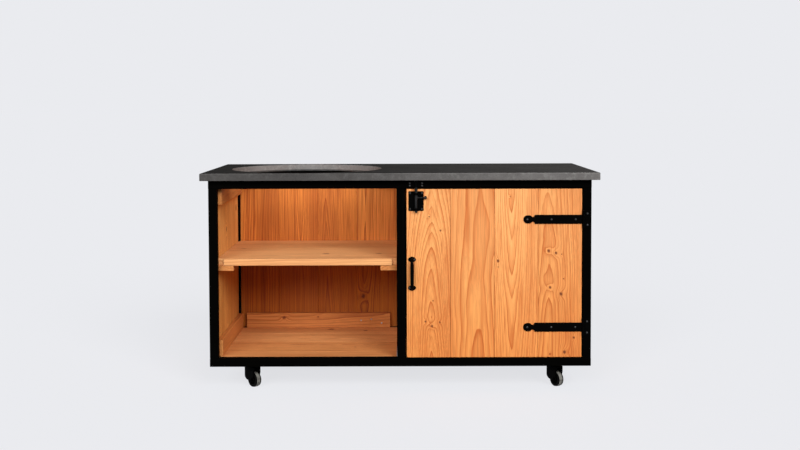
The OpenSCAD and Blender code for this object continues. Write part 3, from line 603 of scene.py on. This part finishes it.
# How brown the boards of the open bay are: from the left at its back, from the front at its side.
bay_tones = {"back_boards_left": (0.80, 0.90, 0.75, 0.0), "left_side_boards": (0.0, 0.1, 0.0, 0.2)}
for name, finish in (
    ("back_boards_left", back_fir), ("back_boards_right", back_fir), ("left_side_boards", side_fir),
    ("right_side_boards", side_fir), ("partition_boards", side_fir), ("floor_boards_left", floor_fir),
    ("floor_boards_right", floor_fir),
):
    tones = bay_tones.get(name, [None] * 4)
    planks = [board(*box, tone=tone) for box, tone in zip(close_up(solids(name)), tones)]
    hand_in(joined(planks), name + "_fir", finish, "frame", "inner_wood", name)


# Battens and cleats. Narrow fir strips screwed across the boards inside: at the foot and head of
# the ends and the partition, on the floor along the back, and flat under the ends of the shelf.
post_low, post_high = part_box("back_left_post")
post_notch = (post_low - Vector((1, 1, 1)) * MM, post_high + Vector((1, 1, 1)) * MM)
for name in ("side_battens", "rear_battens", "shelf_cleats"):
    planks = [board(low, high, cuts=[post_notch]) for low, high in solids(name)]
    hand_in(joined(planks), name + "_fir", bay_fir, "frame", "inner_wood", name)


# Shelf. Thicker and lighter fir boards that lie loose on the cleats; the front one has a shallow
# notch in both corners, and the rear one is notched round the back post.
shelf_fir = fir_material("shelf_fir", (0.93, 0.47, 0.185), (0.58, 0.21, 0.065))
shelf_low, shelf_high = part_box("shelf_boards")
corner_w, corner_in = 18 * MM, 12 * MM
left_post_x, middle_post_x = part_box("front_left_post")[1].x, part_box("front_middle_post")[0].x
shelf_cuts = [post_notch]
for x0, x1 in ((shelf_low.x, left_post_x + corner_w), (middle_post_x - corner_w, shelf_high.x)):
    shelf_cuts.append((
        Vector((x0 - 1 * MM, shelf_low.y - 1 * MM, shelf_low.z - 1 * MM)),
        Vector((x1 + 1 * MM, shelf_low.y + corner_in, shelf_high.z + 1 * MM)),
    ))
planks = [board(*box, tone=0.3, cuts=shelf_cuts) for box in close_up(solids("shelf_boards"))]
hand_in(joined(planks), "shelf_boards_fir", shelf_fir, "frame", "inner_wood", "shelf_boards")


# Door. Four upright fir boards with eased edges, edge to edge, screwed from behind to two ledges.
# Each board's grain is given one by one: where its arches stand, which way they point, and where its
# knots and swells lie on the door's face.
door_knots = [
    ((120, 719), 2.4), ((166, 662), 3.0), ((451, 801), 1.8), ((402, 536), 4.6), ((402, 511), 2.0),
    ((610, 577), 5.0), ((640, 568), 4.4), ((663, 563), 1.8), ((616, 426), 4.2), ((661, 399), 5.4),
    ((671, 462), 2.0), ((714, 218), 3.6), ((676, 158), 5.4), ((616, 150), 2.2), ((135, 372), 2.0),
    ((131, 267), 4.0), ((104, 286), 3.4), ((163, 283), 3.0),
]
door_swells = [
    ((333, 646), 70, 130, -4.0), ((333, 90), 70, 120, -2.1), ((640, 572), 34, 24, 3.5),
    ((664, 395), 34, 26, 3.5), ((592, 470), 16, 30, -2.5), ((584, 415), 20, 22, 2.5),
    ((692, 158), 40, 28, 4.0), ((600, 620), 20, 26, 2.0), ((131, 280), 30, 16, 4.0),
]
# The door's two feet tints are painted light: darker and warmer low down, lighter and cooler high up.
door_fir = fir_material(
    "door_fir", (0.98, 0.425, 0.128), (0.60, 0.152, 0.028), door_knots, door_swells, wild_knots=0.0,
    feet=((0.84, 0.73, 0.58), (1.02, 1.10, 1.26)),
)
door_grain = [
    {"pith": (14 * MM, 36 * MM), "lean": (0.000, 0.086), "tone": 0.45, "ring": 8 * MM},
    {"pith": (40 * MM, 118 * MM), "lean": (0.000, 0.0107), "tone": 0.30, "ring": 16 * MM},
    {"pith": (-17 * MM, 42 * MM), "lean": (-0.004, -0.046), "tone": 0.10, "ring": 7 * MM},
    {"pith": (-47 * MM, 50 * MM), "lean": (0.010, 0.045), "tone": 0.55, "ring": 8 * MM},
]
for i, chosen in enumerate(door_grain, 1):
    name = f"door_board_{i}"
    hand_in(board(*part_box(name), **chosen), name + "_fir", door_fir, "door", "door_wood", name)
planks = [board(low, high) for low, high in solids("door_ledges")]
hand_in(joined(planks), "door_ledges_fir", bay_fir, "door", "inner_wood", "door_ledges")


# Strap hinges. Black coated iron, 4 mm thick: a round end, a notched neck, a long bar and an eye
# rolled round the pin; each is held by three domed screws through the door's boards.
ironwork = coated_steel("black_iron", (0.0009, 0.0009, 0.0008), 0.32, 0.014, 420.0, 0.001)
door_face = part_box("door_board_1")[0].y
pins = solids("hinge_pins")
pin_x = (pins[0][0].x + pins[0][1].x) / 2
pin_y = (pins[0][0].y + pins[0][1].y) / 2


def arc(centre, radius, start, end, steps):
    """Points on an arc from one angle to another, in degrees, both ends included."""
    angles = [math.radians(start + (end - start) * i / steps) for i in range(steps + 1)]
    return [(centre[0] + radius * math.cos(a), centre[1] + radius * math.sin(a)) for a in angles]


def rounded_box(u0, v0, u1, v1, radius, steps=5):
    """Outline of a rectangle with round corners."""
    corners = [(u1 - radius, v1 - radius, 0), (u0 + radius, v1 - radius, 90),
               (u0 + radius, v0 + radius, 180), (u1 - radius, v0 + radius, 270)]
    return [point for u, v, a in corners for point in arc((u, v), radius, a, a + 90, steps)]


def plate(outline, to_place, thickness, ease, segments=2):
    """A plate: a ring of corners set to the outline, filled, drawn out and eased along its rims."""
    bpy.ops.object.select_all(action="DESELECT")
    bpy.ops.mesh.primitive_circle_add(vertices=len(outline), radius=1, fill_type="NGON")
    blank = place_at(bpy.context.object)
    for vertex, (u, v) in zip(blank.data.vertices, outline):
        vertex.co = to_place(u, v)
    bpy.ops.object.mode_set(mode="EDIT")
    bpy.ops.mesh.select_all(action="SELECT")
    bpy.ops.mesh.extrude_region_move(TRANSFORM_OT_translate={"value": thickness})
    bpy.ops.mesh.select_all(action="SELECT")
    bpy.ops.mesh.normals_make_consistent(inside=False)
    bpy.ops.object.mode_set(mode="OBJECT")
    if ease:
        ease_edges(blank, ease, segments, 40, harden=True)
    return blank


def smooth(obj, angle=35):
    """Shades an object smooth, apart from the edges that are sharper than the angle."""
    lone(obj)
    bpy.ops.object.shade_smooth_by_angle(angle=math.radians(angle))
    return obj


def turned_part(profile, steps=48):
    """A turned part: a closed profile of (radius, height) pairs spun round the Z axis."""
    bpy.ops.object.select_all(action="DESELECT")
    bpy.ops.mesh.primitive_circle_add(vertices=len(profile), radius=1, fill_type="NOTHING")
    blank = place_at(bpy.context.object)
    for vertex, (radius, height) in zip(blank.data.vertices, profile):
        vertex.co = (radius, 0, height)
    bpy.ops.object.mode_set(mode="EDIT")
    bpy.ops.mesh.select_all(action="SELECT")
    bpy.ops.mesh.spin(steps=steps, angle=math.tau, center=(0, 0, 0), axis=(0, 0, 1))
    bpy.ops.mesh.select_all(action="SELECT")
    bpy.ops.mesh.remove_doubles(threshold=1e-6)
    bpy.ops.mesh.normals_make_consistent(inside=False)
    bpy.ops.object.mode_set(mode="OBJECT")
    return smooth(blank)


def barrel(x, y, low, high, outer, inner, ease=0.4 * MM):
    """A rolled knuckle round the hinge pin."""
    profile = [
        (inner, low), (outer - ease, low), (outer, low + ease),
        (outer, high - ease), (outer - ease, high), (inner, high),
    ]
    return place_at(turned_part(profile, 32), (x, y, 0))


strap_t = 4 * MM
knuckle_r = 5 * MM
knuckle_bore = 3.05 * MM
bar_half = 18.5 * MM
eye_half = 18.1 * MM
end_r = 16.75 * MM
lobe_r = 8 * MM
lobe_at = (8.5 * MM, end_r - lobe_r)
lobe_stop = 25
notch_r = 6.2 * MM
notch_at = (22.3 * MM, 15.6 * MM)
notch_start = 214
notch_stop = 340
shoulder = [(29.4 * MM, 17 * MM), (31.2 * MM, bar_half)]
eye_start = 4 * MM
for side in ("upper", "lower"):
    low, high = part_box(side + "_hinge_strap")
    middle = Vector((low.x + end_r, door_face, (low.z + high.z) / 2))
    bar_end = pin_x - eye_start - middle.x
    upper_half = arc((0, 0), end_r, 180, 90, 10) + arc(lobe_at, lobe_r, 90, lobe_stop, 5)
    upper_half += arc(notch_at, notch_r, notch_start, notch_stop, 10)
    upper_half += shoulder + [(bar_end, bar_half)]
    lower_half = [(u, -v) for u, v in reversed(upper_half[1:])]
    bar = plate(
        upper_half + lower_half, lambda u, v: middle + Vector((u, 0, v)), (0, -strap_t, 0), 0.5 * MM, 3,
    )
    tab = plate(
        rounded_box(bar_end - 2 * MM, -eye_half, pin_x - middle.x, eye_half, 0.5 * MM, 2),
        lambda u, v: middle + Vector((u, -1 * MM, v)), (0, -strap_t + 1 * MM, 0), 0.4 * MM,
    )
    eye = barrel(pin_x, pin_y, middle.z - eye_half, middle.z + eye_half, knuckle_r, knuckle_bore)
    hand_in(
        joined([bar, tab, eye]), side + "_strap", ironwork, "door", "fittings", side + "_hinge_strap",
    )


# Hinge leaves and pins. A 3 mm leaf on the post carries the two outer knuckles; the strap's eye
# turns between them on a pin with a flat head.
paint(ironwork, "hinge_pins")
leaf_t = 3 * MM
leaf_corner = 4 * MM
leaf_relief = 6.2 * MM
for side in ("upper", "lower"):
    low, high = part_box(side + "_hinge_leaf")
    z = (low.z + high.z) / 2
    half = (high.z - low.z) / 2
    wide = high.x - pin_x
    outline = arc((wide - leaf_corner, half - leaf_corner), leaf_corner, 0, 90, 5)
    outline += [(0, half), (0, bar_half), (leaf_relief, bar_half), (leaf_relief, -bar_half), (0, -bar_half)]
    outline += [(0, -half)] + arc((wide - leaf_corner, leaf_corner - half), leaf_corner, 270, 360, 5)
    leaf = plate(
        outline, lambda u, v: Vector((pin_x + u, door_face, z + v)), (0, -leaf_t, 0), 0.5 * MM,
    )
    knuckles = [
        barrel(pin_x, pin_y, z0, z1, knuckle_r, knuckle_bore)
        for z0, z1 in ((low.z, z - bar_half), (z + bar_half, high.z))
    ]
    hand_in(
        joined([leaf] + knuckles), side + "_leaf", ironwork, "frame", "fittings", side + "_hinge_leaf",
    )


# Screws. Domed heads with a cross recess: black ones hold the ironwork, and three bright zinc ones
# show in the batten at the back of the open bay.
head_r = 4.5 * MM
head_h = 2.4 * MM
shank_r = 2.2 * MM
dome_r = (head_r ** 2 + head_h ** 2) / (2 * head_h)
recess_w = 1.3 * MM
recess_len = 5.0 * MM
recess_depth = 1.5 * MM
screw_turn = 37
shank_len = 10 * MM
shank_end = 12 * MM
dome = [(0.0, head_h)]
dome += [(dome_r * math.sin(a), head_h - dome_r + dome_r * math.cos(a))
         for a in [math.asin(head_r / dome_r) * i / 6 for i in range(1, 7)]]
screw = turned_part(dome + [(shank_r, 0.0), (shank_r, -shank_len), (0.0, -shank_end)], 24)
for turn in (0, math.pi / 2):
    bpy.ops.object.select_all(action="DESELECT")
    bpy.ops.mesh.primitive_cube_add(size=1, scale=(recess_len, recess_w, 2 * recess_depth))
    cut(screw, place_at(bpy.context.object, (0, 0, head_h), (0, 0, turn)))
smooth(screw)


def screws_of(name, piece, material, body, slot):
    """Puts a screw, turned to its own angle, at each screw of a CAD node; they all face the front."""
    made = []
    for number, (low, high) in enumerate(solids(name)):
        head_y = low.y + head_h
        centre = ((low.x + high.x) / 2, head_y, (low.z + high.z) / 2)
        twist = Matrix.Rotation(math.radians(screw_turn * number), 4, "Z")
        one = copy_of(screw)
        one.data.transform(Matrix.Translation(centre) @ Matrix.Rotation(math.pi / 2, 4, "X") @ twist)
        made.append(one)
    hand_in(joined(made), piece, material, body, slot, name)


mottle, coming, going = new_group(
    "mottle",
    {
        "Place": "Vector", "Grain": "Vector", "Detail": "Float", "From": "Float", "To": "Float",
        "First": "Color", "Second": "Color", "Smooth": "Float", "Rough": "Float",
    },
    {"Color": "Color", "Roughness": "Float", "Height": "Float"},
)
cloud = noise(mottle, coming["Place"], coming["Grain"], coming["Detail"])[0]
clouded = step_up(mottle, cloud, coming["From"], coming["To"])
mottle.links.new(blend_colours(mottle, clouded, coming["First"], coming["Second"]), going["Color"])
dulled = step_up(mottle, cloud, 0.3, 0.7, coming["Smooth"], coming["Rough"])
mottle.links.new(dulled, going["Roughness"])
mottle.links.new(cloud, going["Height"])


def mottled_finish(name, grain, detail, limits, colours, roughness, **plain):
    """A material whose colour and gloss drift between two values in small clouds."""
    material, tree, shader, place = new_material(name, **plain)
    look = use_group(tree, mottle, {
        "Place": place, "Grain": grain, "Detail": detail, "From": limits[0], "To": limits[1],
        "First": (*colours[0], 1), "Second": (*colours[1], 1),
        "Smooth": roughness[0], "Rough": roughness[1],
    })
    tree.links.new(look["Color"], shader.inputs["Base Color"])
    tree.links.new(look["Roughness"], shader.inputs["Roughness"])
    return material, tree, shader, place, look["Height"]


zinc = mottled_finish(
    "bright_zinc", (240.0, 240.0, 240.0), 3.0, (0.3, 0.7), ((0.52, 0.51, 0.48), (0.74, 0.73, 0.70)),
    (0.28, 0.42), Metallic=1.0,
)[0]
blackened, tree, shader, place = new_material("blackened_screws", Metallic=1.0)
shader.inputs["Base Color"].default_value = (0.050, 0.049, 0.048, 1)
shader.inputs["Roughness"].default_value = 0.3
screws_of("door_screws", "door_screw_heads", blackened, "door", "fittings")
screws_of("frame_screws", "frame_screw_heads", blackened, "frame", "fittings")
screws_of("batten_screws", "batten_screw_heads", zinc, "frame", "zinc")
bpy.data.objects.remove(screw)


# Pull handle. Cast iron: two pointed oval feet, each held by two screws, two necks and a grip that
# swells at its middle.
low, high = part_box("pull_handle")
handle_x = (low.x + high.x) / 2
foot_h = 24 * MM
foot_w = high.x - low.x
foot_t = 4 * MM
foot_z = [low.z + foot_h / 2, high.z - foot_h / 2]
grip_r = 7.5 * MM
grip_end_r = 5.75 * MM
neck_r = 4.5 * MM
grip_y = low.y + grip_r
elbow = 9 * MM
bulge_half = 38 * MM
flare = 0.8 * MM
foot_steps = 32
tip_power, side_power = 1.25, 1.1
ring = []
for i in range(foot_steps):
    c, s = math.cos(math.tau * i / foot_steps), math.sin(math.tau * i / foot_steps)
    ring.append((
        foot_w / 2 * math.copysign(abs(c) ** tip_power, c),
        foot_h / 2 * math.copysign(abs(s) ** side_power, s),
    ))
feet = []
for z in foot_z:
    feet.append(plate(
        ring, lambda u, v: Vector((handle_x + u, door_face, z + v)), (0, -foot_t, 0), 1.4 * MM, 3,
    ))
bend_top = [(grip_y + elbow - elbow * math.sin(a), foot_z[1] - elbow + elbow * math.cos(a))
            for a in [math.pi / 2 * i / 8 for i in range(9)]]
half_path = [(door_face - 1 * MM, foot_z[1]), (door_face - foot_t, foot_z[1])] + bend_top
middle_z = sum(foot_z) / 2
reach = foot_z[1] - elbow - middle_z
grip_steps = [(grip_y, middle_z + reach * (1 - i / 12)) for i in range(1, 13)]
upper_path = half_path + grip_steps
whole_path = upper_path + [(y, 2 * middle_z - z) for y, z in reversed(upper_path[:-1])]
bpy.ops.object.select_all(action="DESELECT")
bpy.ops.curve.primitive_bezier_curve_add()
grip = bpy.context.object
grip.data.splines.clear()
spline = grip.data.splines.new("POLY")
spline.points.add(len(whole_path) - 1)
for point, (y, z) in zip(spline.points, whole_path):
    point.co = (handle_x, y, z, 1)
    out = min(1, (door_face - foot_t - y) / (door_face - foot_t - grip_y))
    swell = min(1, max(0, (reach - abs(z - middle_z)) / (reach - bulge_half)))
    point.radius = neck_r + (grip_end_r - neck_r) * max(0, out) + (grip_r - grip_end_r) * swell
    if y > door_face - foot_t - 1 * MM:
        point.radius += flare
grip.data.dimensions = "3D"
grip.data.bevel_depth = 1.0
grip.data.bevel_resolution = 5
grip.data.use_fill_caps = True
place_at(grip)
bpy.ops.object.convert(target="MESH")
grip = smooth(bpy.context.object, 40)
hand_in(joined(feet + [grip]), "pull_handle_iron", ironwork, "door", "fittings", "pull_handle")


# Slide bolt. A rounded plate with two pressed guides on the door, and a keeper like it on the upper
# rail, all black; the rod is dark and glossier, with an arm and a ball to push it by.
plate_corner = 4 * MM
guide_wall = 2.5 * MM
rod_low, rod_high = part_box("bolt_rod")
rod_r = 6 * MM
rod_x = rod_low.x + rod_r
keeper_low, keeper_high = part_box("bolt_keeper")
base_low, base_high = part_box("bolt_plate")
rod_play = 0.1 * MM
rod_y = base_low.y + guide_wall + rod_play + rod_r


def guide(z0, z1, gap):
    """A strap pressed over the rod, with both feet on the plate."""
    inner, outer = rod_r + gap, rod_r + gap + guide_wall
    foot_y = door_face - rod_y - 1 * MM
    over = [(outer, foot_y)] + arc((0, 0), outer, 0, -180, 18) + [(-outer, foot_y)]
    under = [(-inner, foot_y)] + arc((0, 0), inner, -180, 0, 18) + [(inner, foot_y)]
    return plate(
        over + under, lambda u, v: Vector((rod_x + u, rod_y + v, z0)), (0, 0, z1 - z0), 0.5 * MM,
    )


def backing(low, high, thickness):
    """The flat plate under the guides."""
    middle_x, middle_z = (low.x + high.x) / 2, (low.z + high.z) / 2
    half_w, half_h = (high.x - low.x) / 2, (high.z - low.z) / 2
    return plate(
        rounded_box(-half_w, -half_h, half_w, half_h, plate_corner),
        lambda u, v: Vector((middle_x + u, door_face, middle_z + v)), (0, -thickness, 0), 0.6 * MM,
    )


plate_t = 2.5 * MM
guide_h = 10 * MM
guide_in_low, guide_in_high = 2 * MM, 6 * MM
guide_low = base_low.z + guide_in_low
guide_high = base_high.z - guide_in_high - guide_h
bolt_parts = [backing(base_low, base_high, plate_t)]
bolt_parts += [guide(z, z + guide_h, 0.15 * MM) for z in (guide_low, guide_high)]
hand_in(joined(bolt_parts), "bolt_plate_iron", ironwork, "door", "fittings", "bolt_plate")
keeper_parts = [backing(keeper_low, keeper_high, plate_t), guide(keeper_low.z, keeper_high.z, 0.5 * MM)]
hand_in(joined(keeper_parts), "bolt_keeper_iron", ironwork, "frame", "fittings", "bolt_keeper")

ball_r = 7 * MM
arm_r = 3 * MM
ball_x = rod_high.x - ball_r
arm_stop = 4 * MM
rod_travel = 36 * MM
arm_z = guide_low + guide_h + arm_stop + arm_r + rod_travel
tip = 2 * MM
rod_profile = [
    (0, rod_low.z), (rod_r - 1 * MM, rod_low.z), (rod_r, rod_low.z + 1 * MM),
    (rod_r, rod_high.z - tip), (rod_r - tip, rod_high.z), (0, rod_high.z),
]
rod = place_at(turned_part(rod_profile, 32), (rod_x, rod_y, 0))
ball_at = ball_x - rod_x
collar_r = arm_r + 2.2 * MM
arm_profile = [(0, 0), (collar_r, 0), (collar_r - 0.4 * MM, rod_r - 0.2 * MM), (arm_r, rod_r + 2 * MM)]
arm_profile += [(arm_r - 0.4 * MM, ball_at - ball_r + 0.5 * MM)]
arm_profile += [(ball_r * math.sin(a), ball_at - ball_r * math.cos(a))
                for a in [math.radians(degrees) for degrees in range(24, 169, 12)]]
arm_profile += [(0, ball_at + ball_r)]
arm = place_at(turned_part(arm_profile, 32), (rod_x, rod_y, arm_z), (0, math.pi / 2, 0))
dark_steel = mottled_finish(
    "dark_steel", (90.0, 90.0, 18.0), 3.0, (0.35, 0.7), ((0.010, 0.010, 0.010), (0.026, 0.025, 0.025)),
    (0.24, 0.38), Metallic=0.85,
)[0]
hand_in(joined([rod, arm]), "bolt_rod_steel", dark_steel, "bolt", "bolt_steel", "bolt_rod")


# Casters. Hooded black forks, pressed from sheet, swing under the bearers on ball races; the wheels
# are black moulded cores with ribs, and a light grey tread lies between their flanges.
caster_steel = coated_steel("caster_steel", (0.0008, 0.0008, 0.0008), 0.40, 0.012, 600.0, 0.001)
paint(caster_steel, "caster_heads")
paint(zinc, "caster_stems")
moulded, tree, shader, place, cloud = mottled_finish(
    "moulded_core", (300.0, 300.0, 300.0), 3.0, (0.35, 0.7),
    ((0.0012, 0.0012, 0.0012), (0.003, 0.003, 0.003)), (0.42, 0.58), Specular_IOR_Level=0.02,
)
bump(tree, shader, cloud, 0.08 * MM, 0.5)
tread, tree, shader, place, _ = mottled_finish(
    "grey_tread", (90.0, 90.0, 90.0), 5.0, (0.42, 0.68), ((0.19, 0.185, 0.165), (0.10, 0.096, 0.088)),
    (0.66, 0.80), Specular_IOR_Level=0.2,
)
bump(tree, shader, noise(tree, place, (700.0, 700.0, 700.0), 2.0)[0], 0.1 * MM, 0.6)

tyre_low, tyre_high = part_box("tyre_front_left")
wheel_r = (tyre_high.z - tyre_low.z) / 2
tread_t = 6 * MM
rim_t = 6 * MM
rim_r = wheel_r - tread_t
rim_in = rim_r - rim_t
half_tread = 8 * MM
half_wheel = 13 * MM
half_hub = 14 * MM
hub_r = 10 * MM
trail = 27 * MM
shoulder_r = 3 * MM
tyre_outline = [(rim_r, -half_tread)]
tyre_outline += arc((wheel_r - shoulder_r, shoulder_r - half_tread), shoulder_r, -90, 0, 5)
tyre_outline += arc((wheel_r - shoulder_r, half_tread - shoulder_r), shoulder_r, 0, 90, 5)
tyre_outline += [(rim_r, half_tread)]
tyre_model = turned_part(tyre_outline, 72)

flange_r = wheel_r - 1.5 * MM
edge = 0.8 * MM
web = 3 * MM
axle_bore_r = 4.05 * MM
core_half = [
    (axle_bore_r, half_hub), (hub_r - edge, half_hub), (hub_r, half_hub - edge), (hub_r, web + edge),
    (hub_r + edge, web), (rim_in - edge, web), (rim_in, web + edge), (rim_in, half_wheel - edge),
    (rim_in + edge, half_wheel), (flange_r - edge, half_wheel), (flange_r, half_wheel - edge),
    (flange_r, half_tread), (rim_r, half_tread),
]
core = turned_part(core_half + [(r, -y) for r, y in reversed(core_half)], 72)
ribs = []
rib_count = 8
rib_size = (rim_in - hub_r + 1 * MM, 2 * MM, 17 * MM)
rib_x = (hub_r + rim_in) / 2
for i in range(rib_count):
    bpy.ops.object.select_all(action="DESELECT")
    bpy.ops.mesh.primitive_cube_add(size=1, scale=rib_size)
    rib = ease_edges(place_at(bpy.context.object, (rib_x, 0, 0)), 0.6 * MM)
    ribs.append(place_at(rib, turn=(0, 0, math.tau * i / rib_count)))
core_model = joined([core] + ribs)

fork_in = 14.5 * MM
fork_t = 2.5 * MM
fork_out = fork_in + fork_t
fork_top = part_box("fork_front_left")[1].z
hood_front, hood_back = -30 * MM, 46 * MM
brow_h, heel_h = 39 * MM, 23 * MM
chin = (-6 * MM, 28 * MM)
boss_r = 9 * MM
roof_t = 3 * MM


def hood_plan(half, front, back):
    """Straight cheeks and a round front, seen from above."""
    return arc((front + half, 0), half, 90, 270, 24) + [(back, -half), (back, half)]


side_view = [(hood_back, fork_top), (hood_front, fork_top), (hood_front, fork_top - brow_h), chin]
side_view += arc((trail, wheel_r), boss_r, 235, 360, 12) + [(hood_back, fork_top - heel_h)]
hood = plate(hood_plan(fork_out, hood_front, hood_back), lambda u, v: Vector((u, v, 0)), (0, 0, fork_top), 0)
cut(hood, plate(
    hood_plan(fork_in, hood_front + fork_t, hood_back + 1 * MM),
    lambda u, v: Vector((u, v, -1 * MM)), (0, 0, fork_top - roof_t + 1 * MM), 0,
))
cut(hood, plate(side_view, lambda u, v: Vector((u, -2 * fork_out, v)), (0, 4 * fork_out, 0), 0), "INTERSECT")
smooth(ease_edges(hood, 0.7 * MM, angle=40))
field_share = 0.66
field_z = wheel_r + 6 * MM
field_outline = [
    (trail + (u - trail) * field_share, field_z + (v - field_z) * field_share) for u, v in side_view
]
pressed = []
for side in (-1, 1):
    outer = side * (fork_out - 0.3 * MM)
    pressed.append(plate(
        field_outline, lambda u, v: Vector((u, outer, v)), (0, side * 0.9 * MM, 0), 0.4 * MM,
    ))
dish_r = 30 * MM
stem_hole_r = 6.4 * MM
dish = turned_part([
    (stem_hole_r, fork_top - roof_t), (dish_r - 1 * MM, fork_top - roof_t), (dish_r, fork_top - 2 * MM),
    (dish_r, fork_top - 0.6 * MM), (dish_r - 0.6 * MM, fork_top), (stem_hole_r, fork_top),
], 56)
fork_model = joined([hood, dish] + pressed)

heading = {"front_left": -45, "front_right": -59, "back_left": 35, "back_right": 35}
for low, high in solids("caster_heads"):
    middle = (low + high) / 2
    key = ("front" if middle.y < 0 else "back") + ("_left" if middle.x < 0 else "_right")
    swivel = Matrix.Translation((middle.x, middle.y, 0))
    swivel = swivel @ Matrix.Rotation(math.radians(heading[key]), 4, "Z")
    axle = swivel @ Matrix.Translation((trail, 0, wheel_r)) @ Matrix.Rotation(math.pi / 2, 4, "X")
    for model, place_of, piece, material, body, slot, cad in (
        (fork_model, swivel, "fork_steel_", caster_steel, "_fork", "caster_steel", "fork_"),
        (core_model, axle, "wheel_core_", moulded, "_wheel", "wheel_core", "wheel_"),
        (tyre_model, axle, "tread_", tread, "_wheel", "tread", "tyre_"),
    ):
        one = copy_of(model)
        one.data.transform(place_of)
        hand_in(one, piece + key, material, key + body, slot, cad + key)
    paint(caster_steel, "axle_" + key)
for model in (fork_model, core_model, tyre_model):
    bpy.data.objects.remove(model)


# Studio. A pale floor and the same pale tone all round; broad soft light from the front right and
# above, a weaker one from the front left, and an even glow from the room.
room_tone = (0.823, 0.831, 0.863)
room_light = 0.19
lamps = (
    ("key", Vector((0.52, -1.0, 0.60)), 2.3, 30),
    ("fill", Vector((-0.40, -1.0, 0.50)), 1.7, 30),
)
for name, direction, strength, softness in lamps:
    lamp = bpy.data.lights.new(name, "SUN")
    lamp.energy = strength
    lamp.angle = math.radians(softness)
    holder = bpy.data.objects.new(name, lamp)
    bpy.context.scene.collection.objects.link(holder)
    holder.rotation_euler = direction.to_track_quat("Z", "Y").to_euler()


def seen_directly(tree):
    """1 where the camera sees a surface itself, or in a mirror or through glass."""
    path = node(tree, "LightPath").outputs
    seen = maths(tree, "MAXIMUM", path["Is Camera Ray"], path["Is Glossy Ray"])
    return maths(tree, "MAXIMUM", seen, path["Is Transmission Ray"])


world = bpy.data.worlds.new("studio")
bpy.context.scene.world = world
world.use_nodes = True
tree = world.node_tree
background = tree.nodes["Background"]
room = blend_colours(tree, seen_directly(tree), (room_light, room_light, room_light, 1), (*room_tone, 1))
tree.links.new(room, background.inputs["Color"])

# The floor glows with part of the room's tone, and its paint sends back the rest where no shadow falls.
lit_share = 0.13
on_floor = room_light + sum(strength * way.normalized().z for _, way, strength, _ in lamps) / math.pi
bpy.ops.object.select_all(action="DESELECT")
bpy.ops.mesh.primitive_plane_add(size=400)
floor = bpy.context.object
floor.name = "floor"
floor_paint = bpy.data.materials.new("floor_paint")
floor_paint.use_nodes = True
tree = floor_paint.node_tree
matt = tree.nodes["Principled BSDF"]
matt.inputs["Base Color"].default_value = (*[lit_share * tone / on_floor for tone in room_tone], 1)
matt.inputs["Roughness"].default_value = 1.0
matt.inputs["Specular IOR Level"].default_value = 0.0
glow_strength = maths(tree, "MULTIPLY", seen_directly(tree), 1 - lit_share)
glow = node(tree, "Emission", {"Color": (*room_tone, 1), "Strength": glow_strength})
both = tree.nodes.new("ShaderNodeAddShader")
tree.links.new(matt.outputs[0], both.inputs[0])
tree.links.new(glow.outputs[0], both.inputs[1])
tree.links.new(both.outputs[0], tree.nodes["Material Output"].inputs["Surface"])
floor.data.materials.append(floor_paint)
floor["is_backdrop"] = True
bpy.context.scene.view_settings.view_transform = "Standard"

low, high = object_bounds()
